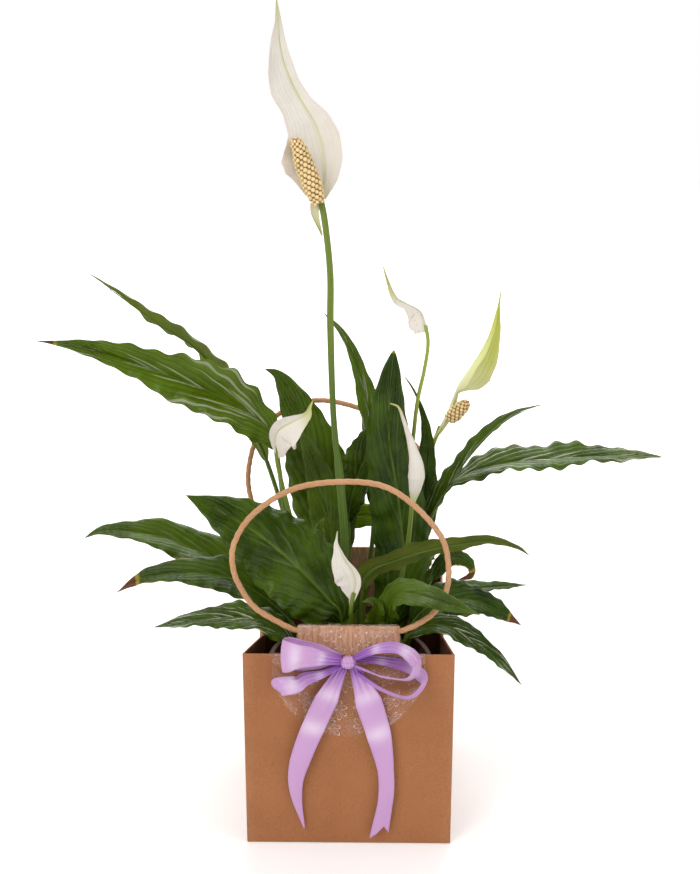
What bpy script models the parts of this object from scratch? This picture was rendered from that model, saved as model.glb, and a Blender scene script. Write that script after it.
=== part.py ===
"""A peace lily in its nursery pot, standing in a kraft paper gift bag that is tied with a satin bow.

Frame: metres, +Z up. The origin is the centre of the bag's flat bottom, the bag's front faces -Y.
The routes of leaves, stems, ribbon and handles are written in centimetres and scaled by CM.
"""

import math

import bmesh
import bpy
from mathutils import Vector

CM = 0.01
GAP = 0.0003

# Bag
BAG_WIDTH = 0.150
BAG_DEPTH = 0.150
BAG_HEIGHT = 0.152
BAG_WALL = 0.0010
GUSSET_TUCK = 0.011
GUSSET_START = 0.070

# Handle tabs and rope handles
TAB_WIDTH = 0.072
TAB_THICK = 0.0026
TAB_TOP = 0.173
BACK_TAB_RISE = 0.004
TAB_BOTTOM = 0.125
ROPE_RADIUS = 0.0021
ROPE_STEPS = 40

# Nursery pot and soil
POT_BASE_Z = 0.0021
POT_HEIGHT = 0.113
POT_TOP_RADIUS = 0.060
POT_BASE_RADIUS = 0.044
POT_WALL = 0.0012
POT_LIP = 0.0035
POT_LIP_HEIGHT = 0.008
SOIL_TOP = 0.106
SOIL_DEPTH = 0.080
POT_SEGMENTS = 32

# Film
FILM_THICK = 0.0004
FILM_HALF_WIDTH = 0.036
BIB_HALF_WIDTH = 0.054
BIB_DROP = 0.060

# Ribbon
RIBBON_THICK = 0.0006

# Foliage
LEAF_STEPS = 16
BLADE_THICK = 0.0010
PETIOLE_RADIUS = 0.0019
TIP_HALF_WIDTH = 0.0004
CROWN_Z = 10.85

INSIDE_FRONT = -BAG_DEPTH / 2 + BAG_WALL
INSIDE_BACK = BAG_DEPTH / 2 - BAG_WALL

# Each leaf: name, route from the crown to the tip in cm, half width in cm, where the blade starts
# along the route, the directions that the upper side faces, spread evenly from crown to tip, and
# the rise of the blade's edges above its midrib for each unit of half width.
LEAVES = [
    ("leaf_left_high", [(-2.2, 0.6, CROWN_Z), (-3.9, 1.0, 19.0), (-4.9, 1.4, 22.5), (-5.4, 1.6, 26.4),
                        (-6.0, 1.9, 29.0), (-9.0, 2.0, 31.2), (-14.0, 2.0, 33.4), (-19.5, 2.0, 35.2),
                        (-23.6, 2.0, 35.8)],
     2.3, 0.45, [(0.6, -0.8, 0.5), (0.3, -0.6, 0.8)], 0.30),
    ("leaf_left_back", [(-3.0, 4.2, CROWN_Z), (-4.8, 5.7, 19.0), (-7.6, 5.8, 28.0), (-11.2, 5.2, 34.0),
                        (-14.5, 5.0, 36.5), (-17.5, 5.0, 38.8), (-19.8, 5.0, 40.4)],
     1.5, 0.42, [(0.6, 0.5, 0.6), (0.5, 0.5, 0.7)], 0.30),
    ("leaf_left_front", [(-1.0, -2.6, CROWN_Z), (-0.6, -4.4, 16.6), (-1.5, -4.8, 18.3), (-3.6, -5.0, 20.8),
                         (-6.3, -5.0, 23.2), (-9.1, -5.0, 25.0), (-11.5, -5.0, 26.2)],
     3.0, 0.27, [(0.3, -1.0, 0.5), (0.2, -0.9, 0.6)], 0.12),
    ("leaf_left_mid", [(-3.0, 0.6, CROWN_Z), (-4.9, 1.3, 14.2), (-7.0, 1.8, 16.2), (-10.0, 2.5, 18.2),
                       (-12.4, 2.5, 19.4), (-15.0, 2.5, 20.4), (-18.8, 2.5, 20.8), (-20.7, 2.5, 20.1)],
     1.8, 0.26, [(0.3, -0.4, 0.9), (0.1, -0.6, 0.9)], 0.35),
    ("leaf_left_low", [(-2.9, -1.2, CROWN_Z), (-4.4, -1.5, 14.8), (-6.5, -1.6, 17.1), (-9.2, -1.6, 18.6),
                       (-12.0, -1.6, 19.0), (-14.8, -1.6, 18.7), (-16.4, -1.6, 18.0), (-17.5, -1.6, 17.3)],
     1.6, 0.22, [(0.4, -0.5, 0.8), (0.0, -0.5, 0.9)], 0.35),
    ("leaf_left_rim", [(-2.6, -2.9, CROWN_Z), (-4.0, -4.4, 14.6), (-5.8, -5.0, 16.4), (-7.4, -5.3, 17.0),
                       (-9.8, -5.3, 17.0), (-12.2, -5.3, 16.6), (-14.2, -5.3, 16.2)],
     1.4, 0.24, [(0.3, -0.4, 0.9), (0.0, -0.3, 0.9)], 0.30),
    ("leaf_centre_left", [(-1.6, 3.6, CROWN_Z), (-1.4, 4.2, 17.6), (-2.1, 4.8, 22.5), (-3.0, 5.0, 26.6),
                          (-4.1, 5.0, 29.8), (-5.4, 4.8, 32.4), (-6.6, 4.4, 33.2)],
     2.5, 0.26, [(0.0, -1.0, 0.3), (0.2, -1.0, 0.3)], 0.12),
    ("leaf_centre_inner", [(-1.4, 1.4, CROWN_Z), (-1.3, 2.0, 18.0), (-1.6, 2.4, 21.7), (-2.4, 2.8, 25.2),
                           (-3.5, 3.0, 28.0), (-4.2, 3.0, 29.2)],
     1.5, 0.30, [(0.0, -1.0, 0.2), (-0.2, -1.0, 0.3)], 0.16),
    ("leaf_centre_mid", [(0.6, 3.2, CROWN_Z), (-0.2, 3.6, 18.0), (-0.1, 3.8, 22.0), (0.9, 3.8, 26.0),
                         (2.2, 3.6, 30.0)],
     2.0, 0.52, [(0.2, -1.0, 0.2), (0.2, -1.0, 0.2)], 0.20),
    ("leaf_back_arch", [(0.6, 4.4, CROWN_Z), (1.6, 5.0, 18.0), (1.8, 5.2, 22.0), (1.6, 5.7, 28.0),
                        (0.8, 6.0, 32.0), (-0.6, 6.0, 35.4), (-2.2, 6.0, 37.3)],
     1.2, 0.40, [(0.3, -0.9, 0.2), (0.8, -0.5, 0.3)], 0.30),
    ("leaf_centre_right", [(2.4, 1.0, CROWN_Z), (4.0, 1.5, 18.0), (3.9, 1.7, 21.5), (3.4, 1.8, 25.2),
                           (2.9, 1.8, 28.4), (2.9, 1.8, 31.6), (3.2, 1.8, 35.2)],
     2.0, 0.26, [(0.0, -1.0, 0.2), (-0.1, -1.0, 0.2)], 0.14),
    ("leaf_right_inner", [(2.6, 3.2, CROWN_Z), (4.6, 3.9, 17.0), (5.4, 4.2, 21.1), (5.8, 4.3, 25.1),
                          (5.8, 4.4, 28.3), (5.1, 4.5, 30.9), (4.0, 4.5, 32.7), (2.8, 4.5, 33.4)],
     1.2, 0.34, [(-0.2, -1.0, 0.2), (0.5, -0.8, 0.5)], 0.16),
    ("leaf_right_arch", [(3.2, 1.8, CROWN_Z), (4.6, 2.6, 18.2), (6.2, 3.0, 22.0), (7.6, 3.2, 24.5),
                         (8.9, 3.2, 26.6), (10.8, 3.2, 28.8), (12.6, 3.2, 30.1), (14.7, 3.2, 30.8)],
     1.0, 0.34, [(-0.5, -0.2, 0.8), (-0.4, -0.3, 0.9)], 0.55),
    ("leaf_right_long", [(3.6, 4.0, CROWN_Z), (5.6, 4.8, 19.0), (7.0, 5.2, 22.4), (8.4, 5.6, 24.1),
                         (11.8, 6.0, 25.2), (16.4, 6.0, 25.7), (21.0, 6.0, 25.9), (24.5, 6.0, 25.8)],
     1.6, 0.42, [(-0.5, -0.2, 0.8), (0.0, -0.1, 1.0)], 0.30),
    ("leaf_right_under", [(1.1, -1.5, CROWN_Z), (0.7, -2.7, 17.2), (1.4, -3.1, 19.7), (3.4, -3.3, 20.8),
                          (6.4, -3.4, 21.8), (9.8, -3.4, 22.3), (11.9, -3.4, 21.9), (13.1, -3.4, 21.1)],
     0.9, 0.34, [(0.0, 0.8, 0.6), (0.0, 0.7, 0.7)], 0.15),
    ("leaf_right_front", [(2.1, -3.0, CROWN_Z), (2.6, -5.2, 16.2), (3.3, -6.8, 19.4), (5.0, -8.3, 20.1),
                          (7.0, -9.2, 19.8), (9.0, -9.8, 19.3)],
     1.2, 0.38, [(0.0, -0.6, 0.8), (0.0, -0.6, 0.8)], 0.25),
    ("leaf_front_dark", [(1.3, -3.6, CROWN_Z), (1.7, -5.2, 15.8), (2.0, -6.2, 18.2), (1.6, -6.5, 18.9),
                         (0.9, -6.5, 18.8)],
     0.7, 0.50, [(0.3, -0.6, 0.8), (0.0, -0.8, 0.6)], 0.30),
    ("leaf_right_brown", [(3.4, -1.3, CROWN_Z), (4.8, -1.8, 15.2), (6.4, -2.2, 17.0), (8.1, -2.4, 17.3),
                          (9.6, -2.4, 17.1), (11.2, -2.4, 16.3), (12.8, -2.4, 15.2)],
     1.6, 0.30, [(-0.2, -0.4, 0.9), (0.3, -0.6, 0.8)], 0.25),
    ("leaf_right_mid", [(3.8, 0.3, CROWN_Z), (5.0, 0.5, 14.4), (6.4, 0.9, 15.9), (8.5, 1.4, 16.4),
                        (11.0, 1.6, 16.6), (13.8, 1.6, 16.8)],
     0.9, 0.36, [(-0.2, -0.3, 0.9), (0.0, -0.2, 1.0)], 0.35),
    ("leaf_right_droop", [(2.9, -2.9, CROWN_Z), (4.0, -4.2, 14.6), (5.4, -5.2, 16.4), (7.1, -5.6, 16.6),
                          (8.8, -5.6, 15.6), (10.6, -5.6, 14.2), (12.6, -5.6, 11.9)],
     1.0, 0.30, [(0.0, -0.5, 0.9), (0.5, -0.5, 0.7)], 0.30),
    ("leaf_right_small", [(4.1, 1.5, CROWN_Z), (4.8, 1.7, 14.5), (5.2, 1.9, 16.4), (6.6, 2.1, 18.2)],
     0.7, 0.36, [(-0.2, -1.0, 0.3), (-0.4, -1.0, 0.3)], 0.10),
    ("leaf_right_curled", [(4.4, 2.8, CROWN_Z), (6.0, 4.0, 15.4), (7.4, 4.7, 17.4), (8.4, 5.0, 17.7),
                           (9.5, 5.1, 17.1), (9.6, 5.0, 16.2), (8.5, 4.9, 15.8)],
     0.7, 0.46, [(-0.6, -0.4, 0.6), (-0.2, -0.6, 0.6), (0.8, -0.6, 0.3)], 0.20),
    ("leaf_back_bright", [(-1.0, 4.9, CROWN_Z), (-1.9, 6.2, 17.0), (-1.2, 6.5, 20.0), (0.4, 6.2, 20.8),
                          (3.0, 5.9, 20.7), (4.8, 5.8, 19.8)],
     1.2, 0.36, [(0.0, -1.0, 0.2), (0.0, -1.0, 0.4)], 0.16),
    ("leaf_young_rolled", [(-1.7, -0.9, CROWN_Z), (-2.2, -1.0, 16.0), (-2.5, -1.1, 20.5), (-2.3, -1.2, 22.4),
                           (-1.8, -1.2, 23.3)],
     0.8, 0.62, [(0.2, -1.0, 0.2), (0.5, -0.8, 0.5)], 0.55),
    ("leaf_behind_left", [(-2.0, 3.6, CROWN_Z), (-2.9, 4.6, 13.0), (-4.3, 6.6, 15.6), (-5.2, 8.6, 16.4),
                          (-5.8, 11.2, 15.2), (-6.2, 13.6, 12.6)],
     1.7, 0.40, [(0.2, -0.5, 0.9), (0.0, 0.3, 0.9), (-0.1, 0.8, 0.5)], 0.20),
    ("leaf_behind_right", [(1.8, 4.0, CROWN_Z), (2.9, 4.9, 13.0), (4.3, 6.6, 15.4), (5.0, 8.6, 16.1),
                           (5.6, 11.4, 15.0), (6.2, 14.0, 12.4)],
     1.7, 0.40, [(-0.2, -0.5, 0.9), (0.0, 0.3, 0.9), (0.1, 0.8, 0.5)], 0.20),
]

# Each stem: name, route from the crown to the flower in cm, radius in cm at the crown and the top.
STEMS = [
    ("stem_tall", [(-0.2, -0.2, CROWN_Z), (-0.4, 0.0, 20.5), (-0.7, 0.0, 25.3), (-1.2, 0.0, 30.5),
                   (-1.4, 0.0, 37.0), (-1.4, 0.0, 41.0), (-1.8, 0.0, 45.2)], 0.42, 0.26),
    ("stem_back_right", [(2.0, 2.4, CROWN_Z), (3.2, 2.8, 18.0), (4.5, 3.0, 26.0), (5.0, 3.0, 30.8),
                         (5.5, 3.0, 33.4), (5.7, 3.0, 35.6)], 0.18, 0.14),
    ("stem_right", [(2.9, 3.7, CROWN_Z), (4.0, 4.8, 14.0), (5.3, 5.5, 18.6), (6.2, 5.4, 23.6),
                    (6.4, 5.2, 26.0), (6.6, 5.0, 27.6)], 0.20, 0.18),
    ("stem_left", [(-2.7, -0.3, CROWN_Z), (-3.2, -0.2, 18.0), (-4.5, 0.0, 23.0), (-5.3, 0.0, 26.6)], 0.20, 0.16),
    ("stem_centre", [(2.0, -0.8, CROWN_Z), (3.4, -0.8, 16.0), (4.3, -0.8, 21.0), (4.6, -0.8, 24.0)], 0.20, 0.18),
    ("stem_front", [(0.4, -3.4, CROWN_Z), (0.2, -5.0, 16.2), (0.2, -5.6, 17.9)], 0.18, 0.16),
]

# Each open spathe: name, route from its foot to its tip in cm, half widths along it in cm, the ways
# that its inner side faces, spread evenly from foot to tip, and the rise of its edges.
SPATHES = [
    ("spathe_tall", [(-1.9, 0.45, 45.5), (-2.6, 0.9, 47.6), (-2.8, 0.9, 49.6), (-3.1, 0.8, 52.0),
                     (-4.1, 0.4, 54.2), (-4.7, 0.1, 56.8), (-4.9, 0.0, 59.3)],
     [0.25, 1.5, 2.1, 2.0, 1.4, 1.2, 0.7, 0.25, 0.05], [(-0.2, -1.0, 0.2), (0.5, -1.0, 0.0)], 0.35),
    ("spathe_back_right", [(5.75, 3.0, 36.2), (5.5, 3.0, 37.3), (4.9, 3.0, 38.2), (4.0, 3.0, 38.8),
                           (3.2, 3.0, 39.5), (2.4, 3.0, 41.1)],
     [0.2, 0.8, 1.0, 0.8, 0.45, 0.25, 0.05], [(-0.8, -0.5, 0.0), (-0.5, -0.7, -0.5)], 0.5),
    ("spathe_right", [(6.7, 5.0, 28.1), (7.5, 5.1, 30.0), (9.0, 5.1, 31.9), (10.1, 5.0, 33.7),
                      (10.7, 4.9, 35.6), (11.0, 4.8, 37.5), (11.1, 4.7, 39.0)],
     [0.2, 0.35, 0.4, 0.75, 0.9, 0.65, 0.4, 0.15, 0.05], [(0.5, -0.8, 0.1), (-0.5, -0.8, 0.0)], 0.45),
]

# Each closed spathe: name, route from its foot to its tip in cm, radii along it in cm.
BUDS = [
    ("bud_left", [(-5.2, 0.0, 27.0), (-4.8, 0.0, 28.4), (-4.2, 0.0, 29.8), (-3.4, 0.0, 31.0), (-2.8, 0.0, 31.8)],
     [0.22, 0.95, 1.35, 1.4, 1.0, 0.5, 0.2, 0.04]),
    ("bud_centre", [(4.65, -0.8, 24.4), (4.9, -0.8, 26.6), (4.5, -0.8, 28.6), (3.9, -0.8, 30.5),
                    (3.5, -0.8, 31.5), (2.9, -0.8, 31.8)],
     [0.22, 0.6, 0.72, 0.6, 0.4, 0.25, 0.15, 0.1, 0.04]),
    ("bud_front", [(0.2, -5.7, 18.3), (0.0, -5.75, 19.7), (-0.2, -5.75, 21.3), (-0.6, -5.7, 22.5),
                   (-0.8, -5.7, 23.4)],
     [0.2, 0.55, 0.85, 0.95, 0.8, 0.45, 0.2, 0.04]),
]

# Each spadix: name, foot and top in cm, radius in cm.
SPADICES = [
    ("spadix_tall", (-2.15, -0.35, 46.0), (-3.7, -0.8, 50.3), 0.52),
    ("spadix_right", (7.5, 4.4, 29.2), (8.9, 4.1, 30.7), 0.44),
]

# Each run of ribbon: name, route in cm, half widths along it in cm, and the ways that its shiny
# side faces, spread evenly along it.
RIBBONS = [
    ("ribbon_loop_upper_left", [(-0.75, -8.2, 15.1), (-2.2, -8.8, 15.5), (-3.6, -9.2, 15.8), (-4.7, -8.9, 15.8),
                                (-4.5, -8.2, 15.6), (-3.2, -7.9, 15.3), (-0.85, -7.8, 15.1)],
     [0.3, 0.7, 1.2, 1.25, 1.25, 0.7, 0.3],
     [(0, -1, 0), (0, -1, 0), (-0.3, -1, 0), (-1, 0, 0), (-0.3, 1, 0), (0, 1, 0), (0, 1, 0)]),
    ("ribbon_loop_lower_left", [(-0.75, -8.3, 14.55), (-2.4, -8.5, 13.8), (-3.8, -9.0, 13.2), (-4.8, -8.8, 13.2),
                                (-4.4, -8.2, 13.3), (-3.0, -8.0, 13.5), (-1.3, -7.85, 14.3)],
     [0.2, 0.35, 0.5, 0.5, 0.5, 0.4, 0.2],
     [(0, -1, 0), (0, -1, 0), (-0.3, -1, 0), (-1, 0, 0), (-0.3, 1, 0), (0, 1, 0), (0, 1, 0)]),
    ("ribbon_loop_upper_right", [(0.75, -8.3, 15.3), (2.2, -8.5, 16.2), (3.6, -8.7, 16.2), (4.7, -9.0, 15.2),
                                 (4.2, -9.1, 14.3), (2.4, -9.0, 14.4), (0.9, -8.7, 14.8)],
     [0.2, 0.45, 0.55, 0.6, 0.5, 0.4, 0.2],
     [(0, -0.5, 1), (-0.2, -0.5, 1), (0.3, -0.5, 0.9), (1, -0.5, 0), (0.2, -0.5, -0.9), (0, -0.5, -0.9),
      (0, -0.5, -0.9)]),
    ("ribbon_loop_lower_right", [(0.8, -7.85, 15.1), (2.4, -7.9, 15.0), (4.2, -8.0, 14.5), (5.3, -8.2, 13.6),
                                 (4.2, -8.4, 12.5), (2.4, -8.3, 12.9), (1.0, -8.2, 14.1)],
     [0.15, 0.2, 0.25, 0.35, 0.35, 0.3, 0.2],
     [(0, -0.7, 1), (0, -0.7, 1), (0.6, -0.7, 0.6), (1, -0.5, -0.2), (0.2, -0.6, -0.9), (0, -0.7, -0.9),
      (0, -0.7, -0.9)]),
    ("ribbon_tail_left", [(-0.6, -7.95, 14.2), (-1.7, -8.05, 11.9), (-2.9, -8.0, 8.8), (-3.7, -7.9, 6.0),
                          (-3.3, -7.85, 2.0)],
     [0.3, 0.85, 0.9, 0.8, 0.6, 0.1], [(0, -1, 0), (0, -1, 0.1), (0, -1, 0)]),
    ("ribbon_tail_right", [(0.55, -7.95, 14.2), (1.7, -8.05, 11.4), (2.5, -8.0, 8.4), (2.8, -7.9, 4.8),
                           (2.3, -7.85, 1.0)],
     [0.3, 0.9, 1.0, 0.8, 0.7, 0.8], [(0, -1, 0), (0, -1, 0.1), (0, -1, 0)]),
]
KNOT_CENTRE = (0.0, -8.25, 15.0)
KNOT_SIZE = (1.0, 0.9, 0.9)

# Rope handles: the routes from one side edge of the tab round to the other, as (x, z) in cm.
FRONT_HANDLE = [(-3.85, 17.0), (-5.0, 17.6), (-6.5, 18.6), (-7.4, 19.9), (-8.0, 21.5), (-7.9, 23.4), (-6.6, 25.5),
                (-4.0, 27.3), (-1.0, 27.9), (2.1, 27.7), (4.3, 26.4), (6.3, 24.1), (6.9, 22.0), (6.8, 20.0),
                (6.0, 18.4), (4.9, 17.5), (3.85, 17.0)]
BACK_HANDLE = [(-3.85, 17.0), (-5.6, 17.9), (-7.2, 19.4), (-8.2, 22.4), (-8.1, 25.0), (-7.2, 27.4), (-5.2, 29.2),
               (-2.4, 30.0), (1.1, 29.2), (3.8, 27.6), (5.8, 25.4), (6.8, 22.8), (6.6, 20.2), (5.3, 18.1),
               (3.85, 17.0)]
HANDLE_PLANE = 7.24


def clear_scene():
    for obj in list(bpy.data.objects):
        bpy.data.objects.remove(obj, do_unlink=True)


def collection(name):
    made = bpy.data.collections.new(name)
    bpy.context.scene.collection.children.link(made)
    return made


def material(name, colour, roughness, metallic=0.0):
    made = bpy.data.materials.new(name)
    made.use_nodes = True
    shader = made.node_tree.nodes["Principled BSDF"]
    shader.inputs["Base Color"].default_value = (*colour, 1.0)
    shader.inputs["Roughness"].default_value = roughness
    shader.inputs["Metallic"].default_value = metallic
    return made


def finish(name, bm, finish_material):
    """Turns a bmesh into a named object in the plant's collection."""
    bmesh.ops.recalc_face_normals(bm, faces=bm.faces)
    mesh = bpy.data.meshes.new(name)
    bm.to_mesh(mesh)
    bm.free()
    mesh.materials.append(finish_material)
    obj = bpy.data.objects.new(name, mesh)
    PARTS.objects.link(obj)
    return obj


def shade(obj, angle=40):
    obj.data.shade_smooth()
    obj.data.set_sharp_from_angle(angle=math.radians(angle))


def spline_point(points, index, part):
    """A point on the smooth curve through the points, part of the way from points[index] to the next."""
    last = len(points) - 1
    before = points[index - 1] if index > 0 else points[0] * 2 - points[1]
    here = points[index]
    after = points[index + 1]
    beyond = points[index + 2] if index + 2 <= last else points[last] * 2 - points[last - 1]
    square = part * part
    cube = square * part
    return (here * 2 + (after - before) * part + (before * 2 - here * 5 + after * 4 - beyond) * square
            + (here * 3 - before - after * 3 + beyond) * cube) / 2


def smooth_route(points, steps, fineness=24):
    """Even steps along the smooth curve through points given in cm, as a list of metres."""
    points = [Vector(point) * CM for point in points]
    dense = [spline_point(points, i, j / fineness) for i in range(len(points) - 1) for j in range(fineness)]
    dense.append(points[-1])
    lengths = [0.0]
    for one, two in zip(dense, dense[1:]):
        lengths.append(lengths[-1] + (two - one).length)
    route = []
    place = 0
    for step in range(steps + 1):
        wanted = lengths[-1] * step / steps
        while place < len(dense) - 2 and lengths[place + 1] < wanted:
            place += 1
        span = lengths[place + 1] - lengths[place]
        route.append(dense[place].lerp(dense[place + 1], (wanted - lengths[place]) / span))
    return route


def along(values, share):
    """The value at a share from 0 to 1 along an evenly spread list of numbers or vectors."""
    place = share * (len(values) - 1)
    index = min(int(place), len(values) - 2)
    part = place - index
    return values[index] * (1 - part) + values[index + 1] * part


def frames(route, faces):
    """For each point of the route: the point, the side direction and the upper side's direction."""
    made = []
    last = len(route) - 1
    for i, point in enumerate(route):
        ahead = (route[min(i + 1, last)] - route[max(i - 1, 0)]).normalized()
        face = along(faces, i / last)
        up = (face - ahead * face.dot(ahead)).normalized()
        made.append((point, ahead.cross(up), up))
    return made


def loft(name, rings, finish_material):
    """One closed body through rings of equal numbers of points, capped at both ends."""
    bm = bmesh.new()
    loops = [[bm.verts.new(point) for point in ring] for ring in rings]
    for near, far in zip(loops, loops[1:]):
        for i in range(len(near)):
            j = (i + 1) % len(near)
            bm.faces.new((near[i], near[j], far[j], far[i]))
    bm.faces.new(reversed(loops[0]))
    bm.faces.new(loops[-1])
    return finish(name, bm, finish_material)


# The eight points round a leaf's section: place across it and side, 1 above and -1 below.
LEAF_SECTION = [(-1.0, 0), (-0.5, 1), (0.0, 1), (0.5, 1), (1.0, 0), (0.5, -1), (0.0, -1), (-0.5, -1)]


def blade_ring(point, side, up, half_width, half_thick, fold):
    ring = []
    for across, level in LEAF_SECTION:
        thick = half_thick * math.sqrt(1 - across * across) * level
        ring.append(point + side * (half_width * across) + up * (half_width * fold * abs(across) + thick))
    return ring


def blade_outline(share):
    """Half width of a leaf's blade as a share of its widest: a long oval with a drawn-out tip."""
    rise = 0.62
    fall = 1.10
    peak = rise / (rise + fall)
    return (share / peak) ** rise * ((1 - share) / (1 - peak)) ** fall


def make_leaf(name, points, half_width, blade_start, faces, fold, finish_material):
    route = smooth_route(points, LEAF_STEPS)
    rings = []
    for i, (point, side, up) in enumerate(frames(route, [Vector(face) for face in faces])):
        share = max(0.0, (i / LEAF_STEPS - blade_start) / (1 - blade_start))
        wide = half_width * CM * blade_outline(min(share, 1.0))
        flatness = min(1.0, share * 5)
        wide = max(wide, PETIOLE_RADIUS if share < 0.2 else TIP_HALF_WIDTH)
        thick = PETIOLE_RADIUS * (1 - flatness) + BLADE_THICK / 2 * flatness
        rings.append(blade_ring(point, side, up, wide, min(thick, wide), fold * flatness))
    shade(loft(name, rings, finish_material))


def make_spathe(name, points, half_widths, faces, fold, finish_material):
    steps = 14
    route = smooth_route(points, steps)
    rings = []
    for i, (point, side, up) in enumerate(frames(route, [Vector(face) for face in faces])):
        wide = along(half_widths, i / steps) * CM
        rings.append(blade_ring(point, side, up, wide, min(BLADE_THICK / 2, wide), fold))
    shade(loft(name, rings, finish_material))


def round_ring(point, side, up, radius, sides=8):
    ring = []
    for i in range(sides):
        angle = 2 * math.pi * i / sides
        ring.append(point + side * (radius * math.cos(angle)) + up * (radius * math.sin(angle)))
    return ring


def make_round(name, points, radii, steps, finish_material):
    """A stem or a closed spathe: round sections along a route."""
    route = smooth_route(points, steps)
    rings = []
    for i, (point, side, up) in enumerate(frames(route, [Vector((0.1, -1, 0.1)), Vector((0.1, -1, 0.1))])):
        rings.append(round_ring(point, side, up, along(radii, i / steps) * CM))
    shade(loft(name, rings, finish_material), 60)


def make_ribbon(name, points, half_widths, faces, finish_material):
    steps = 18
    route = smooth_route(points, steps)
    rings = []
    for i, (point, side, up) in enumerate(frames(route, [Vector(face).normalized() for face in faces])):
        wide = along(half_widths, i / steps) * CM
        half = RIBBON_THICK / 2
        rings.append([point + side * (wide * across) + up * (half * level)
                      for across, level in ((-1, 1), (1, 1), (1, -1), (-1, -1))])
    loft(name, rings, finish_material)


def make_bag(finish_material):
    """A box without a lid whose sides tuck in along a crease towards the rim, then given its wall."""
    bm = bmesh.new()
    bmesh.ops.create_cube(bm, size=1.0)
    bmesh.ops.scale(bm, vec=(BAG_WIDTH, BAG_DEPTH, BAG_HEIGHT), verts=bm.verts)
    bmesh.ops.translate(bm, vec=(0, 0, BAG_HEIGHT / 2), verts=bm.verts)
    lid = [face for face in bm.faces if face.normal.z > 0.5]
    bmesh.ops.delete(bm, geom=lid, context="FACES_ONLY")
    for place, normal in (((0, 0, GUSSET_START), (0, 0, 1)), ((0, 0, 0), (0, 1, 0))):
        whole = list(bm.verts) + list(bm.edges) + list(bm.faces)
        bmesh.ops.bisect_plane(bm, geom=whole, plane_co=place, plane_no=normal, dist=1e-6)
    for vert in bm.verts:
        if abs(vert.co.y) < 1e-6 and vert.co.z > BAG_HEIGHT - 1e-4:
            vert.co.x -= math.copysign(GUSSET_TUCK, vert.co.x)
    bag = finish("gift_bag", bm, finish_material)
    solidify = bag.modifiers.new("wall", "SOLIDIFY")
    solidify.thickness = BAG_WALL
    solidify.offset = -1
    solidify.use_even_offset = True


def make_tab(name, facing, top, finish_material):
    """A folded card tab that holds the rope's ends, standing up inside the rim. facing is -1 or 1."""
    bm = bmesh.new()
    bmesh.ops.create_cube(bm, size=1.0)
    bmesh.ops.scale(bm, vec=(TAB_WIDTH, TAB_THICK, top - TAB_BOTTOM), verts=bm.verts)
    centre_y = facing * (INSIDE_BACK - GAP - TAB_THICK / 2)
    bmesh.ops.translate(bm, vec=(0, centre_y, (top + TAB_BOTTOM) / 2), verts=bm.verts)
    finish(name, bm, finish_material)


def make_handle(name, route, facing, finish_material):
    points = smooth_route([(x, facing * HANDLE_PLANE, z) for x, z in route], ROPE_STEPS)
    curve = bpy.data.curves.new(name, "CURVE")
    curve.dimensions = "3D"
    curve.bevel_depth = ROPE_RADIUS
    curve.bevel_resolution = 2
    curve.use_fill_caps = True
    spline = curve.splines.new("POLY")
    spline.points.add(len(points) - 1)
    for place, point in zip(spline.points, points):
        place.co = (*point, 1.0)
    curve.materials.append(finish_material)
    PARTS.objects.link(bpy.data.objects.new(name, curve))


def turned(name, profile, finish_material):
    """A turned piece: a profile of (radius, height) that runs down its outer side."""
    bm = bmesh.new()
    verts = [bm.verts.new((radius, 0, height)) for radius, height in profile]
    for one, two in zip(verts, verts[1:]):
        bm.edges.new((one, two))
    mesh = bpy.data.meshes.new(name)
    bm.to_mesh(mesh)
    bm.free()
    mesh.materials.append(finish_material)
    obj = bpy.data.objects.new(name, mesh)
    PARTS.objects.link(obj)
    screw = obj.modifiers.new("turn", "SCREW")
    screw.steps = POT_SEGMENTS
    screw.render_steps = POT_SEGMENTS
    screw.use_merge_vertices = True
    screw.merge_threshold = 0.00005


def pot_radius(height):
    """Outer radius of the pot at a height above its base."""
    return POT_BASE_RADIUS + (POT_TOP_RADIUS - POT_BASE_RADIUS) * height / POT_HEIGHT


def make_pot(finish_material):
    top = POT_BASE_Z + POT_HEIGHT
    lip_foot = POT_HEIGHT - POT_LIP_HEIGHT
    profile = [
        (POT_TOP_RADIUS - POT_WALL, top),
        (POT_TOP_RADIUS + POT_LIP, top),
        (POT_TOP_RADIUS + POT_LIP, POT_BASE_Z + lip_foot),
        (pot_radius(lip_foot), POT_BASE_Z + lip_foot),
        (POT_BASE_RADIUS, POT_BASE_Z),
        (0.0, POT_BASE_Z),
    ]
    profile += [(0.0, POT_BASE_Z + POT_WALL), (POT_BASE_RADIUS - POT_WALL, POT_BASE_Z + POT_WALL)]
    profile.append((POT_TOP_RADIUS - POT_WALL, top))
    turned("nursery_pot", profile, finish_material)


def make_soil(finish_material):
    foot = SOIL_TOP - SOIL_DEPTH
    shy = POT_WALL + GAP + 0.0003
    profile = [
        (0.0, SOIL_TOP),
        (pot_radius(SOIL_TOP - POT_BASE_Z) - shy, SOIL_TOP),
        (pot_radius(foot - POT_BASE_Z) - shy, foot),
        (0.0, foot),
    ]
    turned("potting_soil", profile, finish_material)


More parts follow.
